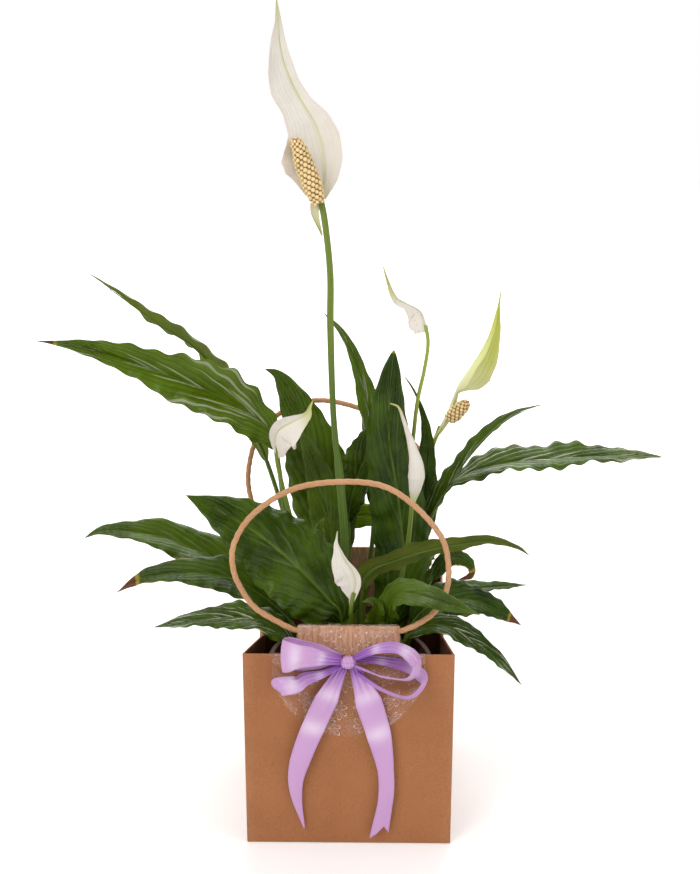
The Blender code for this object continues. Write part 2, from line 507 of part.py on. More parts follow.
def film_path():
    """The film's line from front to back seen from the side, with its half width at each place, as
    (y, z, half width): the bib on the bag's front, over the tab, down and under the pot and up again."""
    outside = -BAG_DEPTH / 2 - GAP - FILM_THICK / 2
    inside = INSIDE_FRONT + 2 * GAP + TAB_THICK + FILM_THICK / 2 + 0.0002
    floor = BAG_WALL + GAP + FILM_THICK / 2
    over = TAB_TOP + GAP + FILM_THICK
    rim = BAG_HEIGHT
    path = []
    for step in range(9):
        drop = math.cos(math.pi / 2 * step / 8)
        wide = BIB_HALF_WIDTH * math.sqrt(max(0.0, 1 - drop * drop))
        path.append((outside, rim - 0.004 - BIB_DROP * drop, max(wide, 0.004)))
    path += [
        (outside, rim - 0.001, FILM_HALF_WIDTH),
        (outside, over - 0.0004, FILM_HALF_WIDTH),
        (outside + 0.0005, over, FILM_HALF_WIDTH),
        (inside - 0.0003, over, FILM_HALF_WIDTH),
        (inside, over - 0.0006, FILM_HALF_WIDTH),
        (inside, BAG_HEIGHT - 0.03, FILM_HALF_WIDTH),
        (inside - 0.001, 0.02, FILM_HALF_WIDTH),
        (inside, floor + 0.003, FILM_HALF_WIDTH),
        (inside + 0.003, floor, FILM_HALF_WIDTH),
        (-inside - 0.003, floor, FILM_HALF_WIDTH),
        (-inside, floor + 0.003, FILM_HALF_WIDTH),
        (-inside + 0.001, 0.02, FILM_HALF_WIDTH),
        (-inside, BAG_HEIGHT - 0.03, FILM_HALF_WIDTH),
        (-inside, over - 0.001, FILM_HALF_WIDTH),
    ]
    return path


def make_film(finish_material):
    path = film_path()
    rings = []
    last = len(path) - 1
    for i, (y, z, wide) in enumerate(path):
        before = path[max(i - 1, 0)]
        after = path[min(i + 1, last)]
        ahead = Vector((0, after[0] - before[0], after[1] - before[1])).normalized()
        out = Vector((0, -ahead.z, ahead.y)) * (FILM_THICK / 2)
        point = Vector((0, y, z))
        side = Vector((wide, 0, 0))
        rings.append([point - side + out, point + side + out, point + side - out, point - side - out])
    loft("wrapping_film", rings, finish_material)


def make_knot(finish_material):
    bm = bmesh.new()
    bmesh.ops.create_cube(bm, size=1.0)
    bmesh.ops.scale(bm, vec=Vector(KNOT_SIZE) * CM, verts=bm.verts)
    bmesh.ops.bevel(bm, geom=list(bm.edges), offset=0.2 * CM, segments=2, affect="EDGES", profile=0.5)
    bmesh.ops.translate(bm, vec=Vector(KNOT_CENTRE) * CM, verts=bm.verts)
    finish("ribbon_knot", bm, finish_material)


def make_spadix(name, foot, top, radius, finish_material):
    foot = Vector(foot)
    top = Vector(top)
    radii = [0.45 * radius, radius, radius, radius, 0.92 * radius, 0.75 * radius, 0.3 * radius]
    make_round(name, [foot, foot.lerp(top, 0.5), top], radii, 10, finish_material)


def main():
    kraft = material("kraft paper", (0.45, 0.20, 0.09), 0.85)
    rope = material("twisted paper rope", (0.70, 0.36, 0.18), 0.7)
    film = material("printed film", (0.85, 0.82, 0.80), 0.15)
    satin = material("satin ribbon", (0.48, 0.24, 0.66), 0.35)
    pot = material("pot plastic", (0.10, 0.03, 0.02), 0.45)
    soil = material("potting soil", (0.03, 0.02, 0.012), 0.95)
    green = material("leaf", (0.03, 0.14, 0.012), 0.3)
    stem = material("stem", (0.10, 0.24, 0.03), 0.45)
    white = material("spathe", (0.86, 0.82, 0.74), 0.5)
    cream = material("spadix", (0.75, 0.55, 0.28), 0.6)

    make_bag(kraft)
    make_tab("handle_tab_front", -1, TAB_TOP, kraft)
    make_tab("handle_tab_back", 1, TAB_TOP + BACK_TAB_RISE, kraft)
    make_handle("rope_handle_front", FRONT_HANDLE, -1, rope)
    make_handle("rope_handle_back", BACK_HANDLE, 1, rope)
    make_film(film)
    make_knot(satin)
    for name, points, half_widths, faces in RIBBONS:
        make_ribbon(name, points, half_widths, faces, satin)
    make_pot(pot)
    make_soil(soil)
    for name, points, half_width, blade_start, faces, fold in LEAVES:
        make_leaf(name, points, half_width, blade_start, faces, fold, green)
    for name, points, thick_start, thick_end in STEMS:
        make_round(name, points, [thick_start, thick_end], 12, stem)
    for name, points, half_widths, faces, fold in SPATHES:
        make_spathe(name, points, half_widths, faces, fold, white)
    for name, points, radii in BUDS:
        make_round(name, points, radii, 12, white)
    for name, foot, top, radius in SPADICES:
        make_spadix(name, foot, top, radius, cream)


clear_scene()
PARTS = collection("peace_lily_in_bag")
main()
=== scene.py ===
# %% [markdown]
# # A peace lily in a gift bag
# A flowering plant stands in its nursery pot inside a square carrier bag of kraft paper. The bag has
# rope handles, a strip of clear film printed with line flowers hangs over its front, and a satin bow
# is tied there. The solid model already has every piece's place and size. This script keeps those
# places and builds the pieces again with the fine shape and the finishes that the eye looks for.
# Lengths along routes are written in centimetres and scaled by CM, because Blender works in metres.

# %% Load the solid model
import math
import random

import bmesh
import bpy
from mathutils import Matrix, Vector, noise


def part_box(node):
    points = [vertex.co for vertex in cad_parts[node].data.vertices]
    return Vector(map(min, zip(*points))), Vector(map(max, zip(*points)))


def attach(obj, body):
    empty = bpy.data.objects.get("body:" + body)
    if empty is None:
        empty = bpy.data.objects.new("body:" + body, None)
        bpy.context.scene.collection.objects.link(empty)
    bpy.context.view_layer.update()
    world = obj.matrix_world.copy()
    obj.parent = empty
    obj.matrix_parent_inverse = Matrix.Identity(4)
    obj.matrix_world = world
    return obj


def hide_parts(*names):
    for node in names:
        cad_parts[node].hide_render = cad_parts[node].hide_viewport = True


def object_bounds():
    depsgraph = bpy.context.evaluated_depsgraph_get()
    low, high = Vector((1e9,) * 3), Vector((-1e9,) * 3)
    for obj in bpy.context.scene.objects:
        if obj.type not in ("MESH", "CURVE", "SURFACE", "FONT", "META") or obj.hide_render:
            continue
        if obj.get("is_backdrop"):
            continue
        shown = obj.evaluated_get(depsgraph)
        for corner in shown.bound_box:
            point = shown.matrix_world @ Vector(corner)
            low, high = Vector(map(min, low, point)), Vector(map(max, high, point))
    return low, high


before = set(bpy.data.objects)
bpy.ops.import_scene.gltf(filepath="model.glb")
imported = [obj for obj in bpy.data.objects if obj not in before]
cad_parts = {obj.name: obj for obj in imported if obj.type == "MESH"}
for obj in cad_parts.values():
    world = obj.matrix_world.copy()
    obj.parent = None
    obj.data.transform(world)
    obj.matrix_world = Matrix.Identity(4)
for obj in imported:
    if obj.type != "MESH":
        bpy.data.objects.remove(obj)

CM = 0.01
scene = bpy.context.scene
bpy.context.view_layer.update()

# %% [markdown]
# ## Camera
# The plant is seen from a little above, from the side with the bow. A short telephoto lens keeps the
# bag's uprights nearly parallel while its rim still shows a little of the inside.

# %% Camera
CAMERA_PLACE = (0.012, -0.870, 0.536)
CAMERA_TILT = (math.radians(74.24), 0.0, math.radians(0.79))
LENS_MM = 50.8

camera_data = bpy.data.cameras.new("camera")
camera_data.sensor_width = 36.0
camera_data.lens = LENS_MM
camera_data.clip_start = 0.01
camera = bpy.data.objects.new("camera", camera_data)
camera.location = CAMERA_PLACE
camera.rotation_euler = CAMERA_TILT
scene.collection.objects.link(camera)
scene.camera = camera

# %% [markdown]
# ## Node helpers
# Every finish is a small tree of shader nodes. Writing the trees by hand takes many lines, so three
# helpers add a node, join its sockets and set its values in one call each. An effect that several
# finishes share is a node group: it puts out masks and values, and each finish has its own shader.


# %% Node helpers
def add(tree, kind, sockets=None, **settings):
    """One node. sockets maps an input's name or number to a value or to another node's output."""
    node = tree.nodes.new("ShaderNode" + kind)
    for name, value in settings.items():
        setattr(node, name, value)
    for name, value in (sockets or {}).items():
        if isinstance(value, bpy.types.NodeSocket):
            tree.links.new(value, node.inputs[name])
        else:
            node.inputs[name].default_value = value
    return node


def calc(tree, operation, *values):
    """A Math node's result."""
    return add(tree, "Math", dict(enumerate(values)), operation=operation).outputs[0]


def blend_colours(tree, factor, one, two, blend_type="MIX"):
    node = add(tree, "Mix", {0: factor, 6: one, 7: two}, data_type="RGBA", blend_type=blend_type)
    return node.outputs[2]


def rescale(tree, value, from_low, from_high, to_low=0.0, to_high=1.0):
    """A smooth change from one range of numbers to another, held at its ends."""
    node = add(tree, "MapRange", {0: value, 1: from_low, 2: from_high, 3: to_low, 4: to_high},
               interpolation_type="SMOOTHSTEP")
    return node.outputs[0]


def new_group(name, inputs, outputs):
    """A node group with number inputs (name: start value) and number outputs."""
    tree = bpy.data.node_groups.new(name, "ShaderNodeTree")
    for label, start in inputs.items():
        tree.interface.new_socket(label, in_out="INPUT", socket_type="NodeSocketFloat").default_value = start
    for label in outputs:
        tree.interface.new_socket(label, in_out="OUTPUT", socket_type="NodeSocketFloat")
    return tree, tree.nodes.new("NodeGroupInput").outputs, tree.nodes.new("NodeGroupOutput").inputs


def group_node(tree, group, sockets):
    node = add(tree, "Group", node_tree=group)
    for name, value in sockets.items():
        if isinstance(value, bpy.types.NodeSocket):
            tree.links.new(value, node.inputs[name])
        else:
            node.inputs[name].default_value = value
    return node.outputs


def new_finish(name, **settings):
    """A material with its Principled shader, whose plain values are set on its own sockets."""
    made = bpy.data.materials.new(name)
    made.use_nodes = True
    shader = made.node_tree.nodes["Principled BSDF"]
    for label, value in settings.items():
        shader.inputs[label.replace("_", " ")].default_value = value
    return made, made.node_tree, shader.inputs


def marks_of(tree):
    """The three numbers that a shape keeps at each of its points."""
    return add(tree, "SeparateColor", {0: add(tree, "Attribute", attribute_name="marks").outputs[0]}).outputs


def object_place(tree):
    return add(tree, "TexCoord").outputs["Object"]


def surface_place(tree):
    """The place along and across a piece, from its own map."""
    return add(tree, "UVMap", uv_map="surface").outputs[0]


def bump(tree, height, strength, distance):
    return add(tree, "Bump", {"Height": height, "Strength": strength, "Distance": distance}).outputs[0]

# %% [markdown]
# ## Shape helpers
# Leaves, ribbons, film and rope are all a strip or a tube laid along a smooth line. A flat grid is
# made first, and each of its points is then moved to its place, given by how far it is along the
# piece (u) and across or round it (v). The grid keeps its map of u and v, so a pattern such as a
# leaf's veins can follow the surface however it bends. Each point also carries marks: three numbers
# that tell the finish where a tip is dry or a fold is worn.


# %% Smooth lines
def spline_point(points, index, part):
    """A point on the smooth curve through the points, part of the way from points[index] to the next."""
    last = len(points) - 1
    before = points[index - 1] if index > 0 else points[0] * 2 - points[1]
    here = points[index]
    after = points[index + 1]
    beyond = points[index + 2] if index + 2 <= last else points[last] * 2 - points[last - 1]
    square = part * part
    cube = square * part
    return (here * 2 + (after - before) * part + (before * 2 - here * 5 + after * 4 - beyond) * square
            + (here * 3 - before - after * 3 + beyond) * cube) / 2


def smooth_route(points, steps, fineness=24):
    """Even steps along the smooth curve through points given in cm, as a list of metres."""
    points = [Vector(point) * CM for point in points]
    dense = [spline_point(points, i, j / fineness) for i in range(len(points) - 1) for j in range(fineness)]
    dense.append(points[-1])
    lengths = [0.0]
    for one, two in zip(dense, dense[1:]):
        lengths.append(lengths[-1] + (two - one).length)
    route = []
    place = 0
    for step in range(steps + 1):
        wanted = lengths[-1] * step / steps
        while place < len(dense) - 2 and lengths[place + 1] < wanted:
            place += 1
        span = lengths[place + 1] - lengths[place]
        route.append(dense[place].lerp(dense[place + 1], (wanted - lengths[place]) / span))
    return route


def along(values, share):
    """The value at a share from 0 to 1 along an evenly spread list of numbers or vectors."""
    place = min(max(share, 0.0), 1.0) * (len(values) - 1)
    index = min(int(place), len(values) - 2)
    part = place - index
    return values[index] * (1 - part) + values[index + 1] * part


def ease(value, low, high):
    """0 below low, 1 above high and a smooth change between."""
    part = min(max((value - low) / (high - low), 0.0), 1.0)
    return part * part * (3 - 2 * part)


class Spine:
    """A smooth line with, at every place, the way to its side and the way that its upper face looks."""

    def __init__(self, points, faces, steps=120):
        self.route = smooth_route(points, steps)
        self.length = sum((b - a).length for a, b in zip(self.route, self.route[1:]))
        faces = [Vector(face).normalized() for face in faces]
        self.sides = []
        self.ups = []
        for i in range(steps + 1):
            ahead = (self.route[min(i + 1, steps)] - self.route[max(i - 1, 0)]).normalized()
            face = along(faces, i / steps)
            up = (face - ahead * face.dot(ahead)).normalized()
            self.ups.append(up)
            self.sides.append(ahead.cross(up))

    def at(self, share):
        return along(self.route, share), along(self.sides, share), along(self.ups, share)


# %% Grids
NO_MARKS = (0.0, 0.0, 0.0)


def start_shape():
    bm = bmesh.new()
    bm.loops.layers.uv.new("surface")
    bm.verts.layers.float_color.new("marks")
    return bm


def lay_grid(bm, steps_u, steps_v, place, finish=0, under=None):
    """Adds a grid moved to place(u, v), which gives a point and its marks. With under, the grid goes
    round a thin shell: its first half is the upper side, the rest is the under side."""
    made = bmesh.ops.create_grid(bm, x_segments=steps_u, y_segments=steps_v, size=0.5, calc_uvs=True)["verts"]
    surface = bm.loops.layers.uv["surface"]
    marks = bm.verts.layers.float_color["marks"]
    for face in {face for vert in made for face in vert.link_faces}:
        middle = face.calc_center_median().y + 0.5
        face.material_index = finish if under is None or middle < 0.5 else under
        for loop in face.loops:
            u = loop.vert.co.x + 0.5
            v = loop.vert.co.y + 0.5
            loop[surface].uv = (u, v if under is None else 1 - abs(2 * v - 1))
    for vert in made:
        vert.co, mark = place(vert.co.x + 0.5, vert.co.y + 0.5)
        vert[marks] = (*mark, 1.0)
    return made


def finish_shape(name, bm, finishes, nodes, sharp=60, closed=True):
    """Welds the seams, turns the faces outwards, and makes the piece that stands for solid nodes."""
    bmesh.ops.remove_doubles(bm, verts=bm.verts, dist=1e-6)
    if closed:
        bmesh.ops.recalc_face_normals(bm, faces=bm.faces)
    mesh = bpy.data.meshes.new(name)
    bm.to_mesh(mesh)
    bm.free()
    for finish in finishes:
        mesh.materials.append(finish)
    mesh.shade_smooth()
    mesh.set_sharp_from_angle(angle=math.radians(sharp))
    piece = bpy.data.objects.new("fine_" + name, mesh)
    scene.collection.objects.link(piece)
    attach(piece, "root")
    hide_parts(*nodes)
    return piece


def lay_tube(bm, spine, steps_u, steps_v, radius, start=0.0, end=1.0, finish=0, marks=None, drop=None):
    """A tube along a spine from one share of it to another. radius(u, turn) is in metres, and turn
    goes from 0 to 1 round it. Its ends are drawn in to points, so that it is closed."""
    def place(u, v):
        inner = min(max((u * (steps_u + 2) - 1) / steps_u, 0.0), 1.0)
        share = start + (end - start) * inner
        point, side, up = spine.at(share)
        angle = 2 * math.pi * v
        wide = 0.0 if u < 1e-6 or u > 1 - 1e-6 else radius(inner, v % 1.0)
        point = point + side * (wide * math.cos(angle)) + up * (wide * math.sin(angle))
        if drop:
            point -= up * drop(share)
        return point, marks(inner, v) if marks else NO_MARKS
    return lay_grid(bm, steps_u + 2, steps_v, place, finish)


def lay_blade(bm, spine, steps_u, steps_v, left, right, lift, thick, start=0.0, end=1.0, finish=0, under=1,
              marks=None):
    """A thin closed shell on both sides of a spine. left(u) and right(u) are its half widths, lift(u,
    across) is its height above the spine, with across from -1 to 1, and thick is its thickness."""
    def place(u, v):
        across = 1 - 2 * abs(2 * v - 1)
        level = math.sqrt(max(0.0, 1 - across * across)) * thick / 2 * (1 if v < 0.5 else -1)
        point, side, up = spine.at(start + (end - start) * u)
        wide = right(u) if across > 0 else left(u)
        slim = min(1.0, wide / 0.002)
        point = point + side * (wide * across) + up * (lift(u, across) + level * slim)
        return point, marks(u, across) if marks else NO_MARKS
    return lay_grid(bm, steps_u, steps_v * 4, place, finish, under)


print("helpers ready")

# %% [markdown]
# ## Kraft paper
# The bag, its card tabs and the twisted rope are the same brown paper. Under a lens it has short
# fibres that lie mostly one way, paler and darker clouds from the pulp, and a dull surface. The
# grain is one node group, and each finish takes its own share of it.

# %% Kraft paper
def paper_grain():
    tree, put, out = new_group("paper grain", {"Fibre": 420.0, "Cloud": 14.0}, ["Fibres", "Clouds", "Flecks"])
    place = object_place(tree)
    stretched = add(tree, "Mapping", {0: place, "Scale": (1.0, 1.0, 0.18)}).outputs[0]
    fibres = add(tree, "TexNoise", {"Vector": stretched, "Scale": put["Fibre"], "Detail": 5.0})
    clouds = add(tree, "TexNoise", {"Vector": place, "Scale": put["Cloud"], "Detail": 4.0, "Roughness": 0.6})
    flecks = add(tree, "TexVoronoi", {"Vector": stretched, "Scale": 260.0, "Randomness": 1.0})
    tree.links.new(rescale(tree, fibres.outputs[0], 0.3, 0.7), out["Fibres"])
    tree.links.new(rescale(tree, clouds.outputs[0], 0.3, 0.7), out["Clouds"])
    tree.links.new(rescale(tree, flecks.outputs[0], 0.10, 0.02), out["Flecks"])
    return tree


PAPER = paper_grain()


def kraft_paper(name, dark, light, wear_and_groove_shade, fibre, rough):
    """Marks: the first is the wear along a fold, and on the twisted rope the painted shade in its grooves."""
    made, tree, shader = new_finish(name, Roughness=rough, Specular_IOR_Level=0.2)
    grain = group_node(tree, PAPER, {"Fibre": fibre, "Cloud": 16.0})
    tone = blend_colours(tree, grain["Clouds"], (*dark, 1), (*light, 1))
    tone = blend_colours(tree, calc(tree, "MULTIPLY", grain["Fibres"], 0.22), tone, (*light, 1))
    tone = blend_colours(tree, calc(tree, "MULTIPLY", grain["Flecks"], 0.75), tone,
                         (*[c * 0.6 for c in dark], 1))
    pulp = add(tree, "TexNoise", {"Vector": object_place(tree), "Scale": 1150.0, "Detail": 3.0})
    paler = (*[c * 1.5 for c in light], 1)
    darker = (*[c * 0.5 for c in dark], 1)
    tone = blend_colours(tree, rescale(tree, pulp.outputs[0], 0.35, 0.70, 0.0, 0.18), tone, paler)
    tone = blend_colours(tree, rescale(tree, pulp.outputs[0], 0.60, 0.30, 0.0, 0.14), tone, darker)
    wear_and_groove_shade_mark = add(tree, "SeparateColor", {0: add(tree, "Attribute", attribute_name="marks").outputs[0]})
    wear_and_groove_shade_share = calc(tree, "MULTIPLY", wear_and_groove_shade_mark.outputs[0], rescale(tree, grain["Fibres"], 0.2, 0.9, 0.35, 1.0))
    tree.links.new(blend_colours(tree, wear_and_groove_shade_share, tone, (*wear_and_groove_shade, 1)), shader["Base Color"])
    tree.links.new(bump(tree, grain["Fibres"], 0.35, 0.00012), shader["Normal"])
    return made


KRAFT = kraft_paper("kraft paper", (0.375, 0.150, 0.062), (0.430, 0.180, 0.076), (0.62, 0.36, 0.22), 420.0,
                    0.78)
# The inside of the bag is the same paper, painted darker as shade.
KRAFT_INSIDE_PAINTED_SHADE = kraft_paper("kraft paper inside painted shade", (0.13, 0.050, 0.026), (0.19, 0.075, 0.038),
                           (0.42, 0.22, 0.12), 420.0,
                           0.85)
# For the twisted paper the third colour is painted shade for the grooves between the strands.
ROPE_PAPER = kraft_paper("twisted paper", (0.50, 0.255, 0.125), (0.64, 0.36, 0.19), (0.36, 0.15, 0.07),
                         900.0, 0.6)
print("kraft paper ready")

# %% [markdown]
# ## The bag
# A carrier bag is one sheet of paper folded round a block, with its side panels creased in along the
# middle so that it can be packed flat. The outline below runs once round the bag at one height. The
# grid climbs it from the middle of the bottom, up the outside, over the rim, down the inside and
# back to the middle, so the paper has its thickness and the hem inside the rim its own step.

# %% The bag
BAG_HALF = 0.075
BAG_HEIGHT = 0.152
TUCKS = {1: 0.007, 3: 0.0125}
TUCK_CREASE = -0.55
TUCK_FROM = 0.070
HEM_DROP = 0.032
PAPER_THICK = 0.0008
CORNER = 0.0009
PANEL_STEPS = 20


def bag_outline(inset, height):
    """Points once round the bag at a height, and how much of a fold each one is on."""
    half = BAG_HALF - inset
    corner = min(CORNER, half)
    risen = ease(height, TUCK_FROM, BAG_HEIGHT) * (1 if half > CORNER else 0)
    flat = half - corner
    points = []
    for quarter in range(4):
        turn = Matrix.Rotation(math.pi / 2 * quarter, 3, "Z")
        for step in range(PANEL_STEPS):
            share = -1 + 2 * step / (PANEL_STEPS - 1)
            place = Vector((flat * share, -half, 0))
            fold = 1.0 if step in (0, PANEL_STEPS - 1) else 0.0
            if quarter in TUCKS:
                back = share if quarter == 1 else -share
                rise = (back + 1) / (TUCK_CREASE + 1)
                place.y += TUCKS[quarter] * risen * min(rise, (1 - back) / (1 - TUCK_CREASE))
                crease = ease(abs(back - TUCK_CREASE), 0.12, 0.0)
                fold = max(fold, 0.8 * crease * ease(height, TUCK_FROM - 0.02, TUCK_FROM))
            points.append((turn @ place, fold))
        corner_middle = Vector((flat, -flat, 0)) + Vector((1, -1, 0)).normalized() * corner
        points.append((turn @ corner_middle, 1.0))
    points.append(points[0])
    return points


def make_bag():
    rise = [0.0, 0.0006, 0.006] + [0.013 * i for i in range(1, 11)] + [0.141, 0.1475, 0.1512, BAG_HEIGHT]
    rows = [(BAG_HALF, 0.0), (0.04, 0.0), (0.002, 0.0)] + [(0.0, z) for z in rise[1:]]
    rows += [(PAPER_THICK * 2, BAG_HEIGHT), (PAPER_THICK * 2, 0.1475), (PAPER_THICK * 2, 0.135)]
    rows += [(PAPER_THICK * 2, BAG_HEIGHT - HEM_DROP), (PAPER_THICK, BAG_HEIGHT - HEM_DROP)]
    rows += [(PAPER_THICK, z) for z in (0.10, 0.08, 0.06, 0.04, 0.02, PAPER_THICK + 0.0006)]
    rows += [(PAPER_THICK + 0.002, PAPER_THICK), (0.04, PAPER_THICK), (BAG_HALF, PAPER_THICK)]
    table = [bag_outline(inset, height) for inset, height in rows]
    across = len(table[0]) - 1
    top_row = rows.index((PAPER_THICK * 2, BAG_HEIGHT))

    def place(u, v):
        row = round(u * (len(rows) - 1))
        inset, height = rows[row]
        flat, fold = table[row][round(v * across)]
        point = Vector((flat.x, flat.y, height))
        if inset < 0.01 and 0.004 < height:
            swell = noise.noise(Vector((flat.x * 22, flat.y * 22, height * 16)))
            calm = 1 - ease(height, BAG_HEIGHT - 0.03, BAG_HEIGHT) * 0.6
            out = Vector((flat.x if abs(flat.x) > abs(flat.y) else 0,
                          flat.y if abs(flat.y) >= abs(flat.x) else 0, 0))
            edge = 1 - ease(min(abs(flat.x), abs(flat.y)), BAG_HALF * 0.8, BAG_HALF)
            point += out.normalized() * (0.0011 * swell * edge * calm * ease(height, 0.0, 0.02))
        wear_and_groove_shade = max(fold * 0.12, 0.30 if abs(row - top_row) <= 1 and height > BAG_HEIGHT - 0.001 else 0.0)
        return point, (wear_and_groove_shade, 0.0, 0.0)

    bm = start_shape()
    lay_grid(bm, len(rows) - 1, across, place)
    # Faces inside the rim get the darker copy of the paper, which is painted shade.
    inside = top_row
    for face in bm.faces:
        middle = face.calc_center_median()
        radius = max(abs(middle.x), abs(middle.y))
        face.material_index = 0
        if face.loops[0][bm.loops.layers.uv["surface"]].uv.x * (len(rows) - 1) > inside - 0.5:
            face.material_index = 1
    return finish_shape("gift_bag", bm, [KRAFT, KRAFT_INSIDE_PAINTED_SHADE], ["gift_bag"], sharp=35)


bag = make_bag()
print("bag:", len(bag.data.polygons), "faces")

# %% [markdown]
# ## Card tabs
# Each handle's ends are glued between two layers of card, and the card stands up inside the rim. A
# cube scaled to the card with its edges rounded is enough, with one groove where the layers meet.

# %% Card tabs
for name in ("handle_tab_front", "handle_tab_back"):
    low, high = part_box(name)
    bm = start_shape()
    bmesh.ops.create_cube(bm, size=1.0)
    bmesh.ops.scale(bm, vec=high - low, verts=bm.verts)
    bmesh.ops.translate(bm, vec=(low + high) / 2, verts=bm.verts)
    middle = (low.y + high.y) / 2
    bmesh.ops.bevel(bm, geom=list(bm.edges), offset=0.0005, segments=2, profile=0.5, affect="EDGES",
                    material=-1)
    for place, normal in (((0, middle - 0.0001, 0), (0, 1, 0)), ((0, middle + 0.0001, 0), (0, 1, 0)),
                          ((0, middle, 0), (0, 1, 0))):
        whole = list(bm.verts) + list(bm.edges) + list(bm.faces)
        bmesh.ops.bisect_plane(bm, geom=whole, plane_co=place, plane_no=normal, dist=1e-6)
    centre = Vector(((low.x + high.x) / 2, middle, (low.z + high.z) / 2))
    for vert in bm.verts:
        if abs(vert.co.y - middle) < 1e-6:
            vert.co.x -= math.copysign(0.0004,
                                       vert.co.x - centre.x) if abs(vert.co.x - centre.x) > 0.03 else 0
            vert.co.z -= 0.0004 if vert.co.z > high.z - 0.0003 else 0
    finish_shape(name, bm, [KRAFT], [name], sharp=40)
print("card tabs: 2")

# %% [markdown]
# ## Rope handles
# The handle is a paper rope: three paper strands twisted together. A tube whose section has three
# rounded lobes, turned steadily along its line, gives the strands and the grooves between them.

# %% Rope handles
ROPE_RADIUS = 0.0021
ROPE_PITCH = 0.021
STRANDS = 3
HANDLE_PLANE = 7.24
FRONT_HANDLE = [(-3.5, 16.95), (-3.85, 17.0), (-5.0, 17.6), (-6.5, 18.6), (-7.4, 19.9), (-8.0, 21.5),
                (-7.9, 23.4), (-6.6, 25.5),
                (-4.0, 27.3), (-1.0, 27.9), (2.1, 27.7), (4.3, 26.4), (6.3, 24.1), (6.9, 22.0), (6.8, 20.0),
                (6.0, 18.4), (4.9, 17.5), (3.85, 17.0), (3.5, 16.95)]
BACK_HANDLE = [(-3.5, 16.9), (-3.85, 17.0), (-5.6, 17.9), (-7.2, 19.4), (-8.2, 22.4), (-8.1, 25.0),
               (-7.2, 27.4), (-5.2, 29.2),
               (-2.4, 30.0), (1.1, 29.2), (3.8, 27.6), (5.8, 25.4), (6.8, 22.8), (6.6, 20.2), (5.3, 18.1),
               (3.85, 17.0), (3.5, 16.9)]
for name, route, facing in (("rope_handle_front", FRONT_HANDLE, -1), ("rope_handle_back", BACK_HANDLE, 1)):
    rope = Spine([(x, facing * HANDLE_PLANE, z) for x, z in route], [(0, facing, 0)] * 2, 160)
    turns = rope.length / ROPE_PITCH

    def strand(u, turn):
        """How far out a place on the rope is: 1 on top of a strand and less in the groove."""
        return 0.84 + 0.16 * abs(math.cos(math.pi * STRANDS * (turn + turns * u)))

    bm = start_shape()
    # The grooves between the strands are marked to be painted darker: painted shade.
    lay_tube(bm, rope, 420, 14, lambda u, turn: ROPE_RADIUS * strand(u, turn),
             marks=lambda u, turn: (0.7 * ease(strand(u, turn), 0.90, 0.84), 0.0, 0.0))
    finish_shape(name, bm, [ROPE_PAPER], [name], sharp=80)
    print(name, "is", round(rope.length, 3), "m long")

# %% [markdown]
# ## Clear film
# A strip of thin clear film lies over the front of the bag like a bib, goes over the card tab and
# down inside, under the pot and up the back. It is printed with white line flowers. A grid follows
# that path, and small random waves crumple it where nothing presses it flat. Its map is in metres,
# so that the flowers keep their size. Film is nearly invisible, so its finish lets most light
# through, and only the print and a patchy haze are seen, partly the film's own and partly painted glints.

# %% Film finish
FLOWER_PITCH = 0.0195
PETALS = 4.0
RAYS = 8.0


def printed_film():
    made, tree, shader = new_finish("printed film", Roughness=0.12, IOR=1.5)
    place = surface_place(tree)
    cells = add(tree, "TexVoronoi", {"Vector": place, "Scale": 1 / FLOWER_PITCH, "Randomness": 0.55},
                voronoi_dimensions="2D")
    to_centre = add(tree, "VectorMath", {0: place, 1: cells.outputs["Position"]},
                    operation="SUBTRACT").outputs[0]
    reach = add(tree, "VectorMath", {0: to_centre}, operation="LENGTH").outputs["Value"]
    parts = add(tree, "SeparateXYZ", {0: to_centre}).outputs
    angle = calc(tree, "ARCTAN2", parts[1], parts[0])
    lean = calc(tree, "ADD", angle, calc(tree, "MULTIPLY", cells.outputs["Distance"], 1.2))
    petal = calc(tree, "ABSOLUTE", calc(tree, "COSINE", calc(tree, "MULTIPLY", lean, PETALS)))
    edge = calc(tree, "MULTIPLY_ADD", calc(tree, "POWER", petal, 0.7), 0.0052, 0.0028)
    outline = rescale(tree, calc(tree, "ABSOLUTE", calc(tree, "SUBTRACT", reach, edge)), 0.00045, 0.00012)
    ray = calc(tree, "MULTIPLY", calc(tree, "ABSOLUTE", calc(tree, "SINE",
                                                             calc(tree, "MULTIPLY", angle, RAYS))), reach)
    ray_line = rescale(tree, ray, 0.0006, 0.0002)
    rays = calc(tree, "MULTIPLY", ray_line, rescale(tree, reach, 0.0062, 0.0050))
    print_mask = calc(tree, "MAXIMUM", outline, rays)
    haze = add(tree, "TexNoise", {"Vector": object_place(tree), "Scale": 55.0, "Detail": 3.0})
    # Patchy haze: partly the film's own haze, partly painted glints of reflection.
    haze_and_painted_glint = rescale(tree, haze.outputs[0], 0.50, 0.72, 0.04, 0.10)
    alpha = calc(tree, "MAXIMUM", calc(tree, "MULTIPLY", print_mask, 0.55), haze_and_painted_glint)
    tree.links.new(alpha, shader["Alpha"])
    tree.links.new(blend_colours(tree, print_mask, (0.80, 0.56, 0.50, 1), (1.0, 0.86, 0.76, 1)),
                   shader["Base Color"])
    tree.links.new(bump(tree, haze.outputs[0], 0.5, 0.0006), shader["Normal"])
    return made


FILM = printed_film()
print("film finish ready")

# %% Film
FILM_FRONT = -0.0756
FILM_BEHIND = -0.0707
FILM_SIDE = -0.0733
TAB_HALF = 0.036
BIB_HALF = 0.054
BIB_FOOT = 0.088
FILM_FLOOR = 0.0016
FILM_LENGTH = 0.56
tab_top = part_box("handle_tab_front")[1].z + 0.0007
back_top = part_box("handle_tab_back")[1].z
inner_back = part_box("handle_tab_back")[0].y - 0.0006


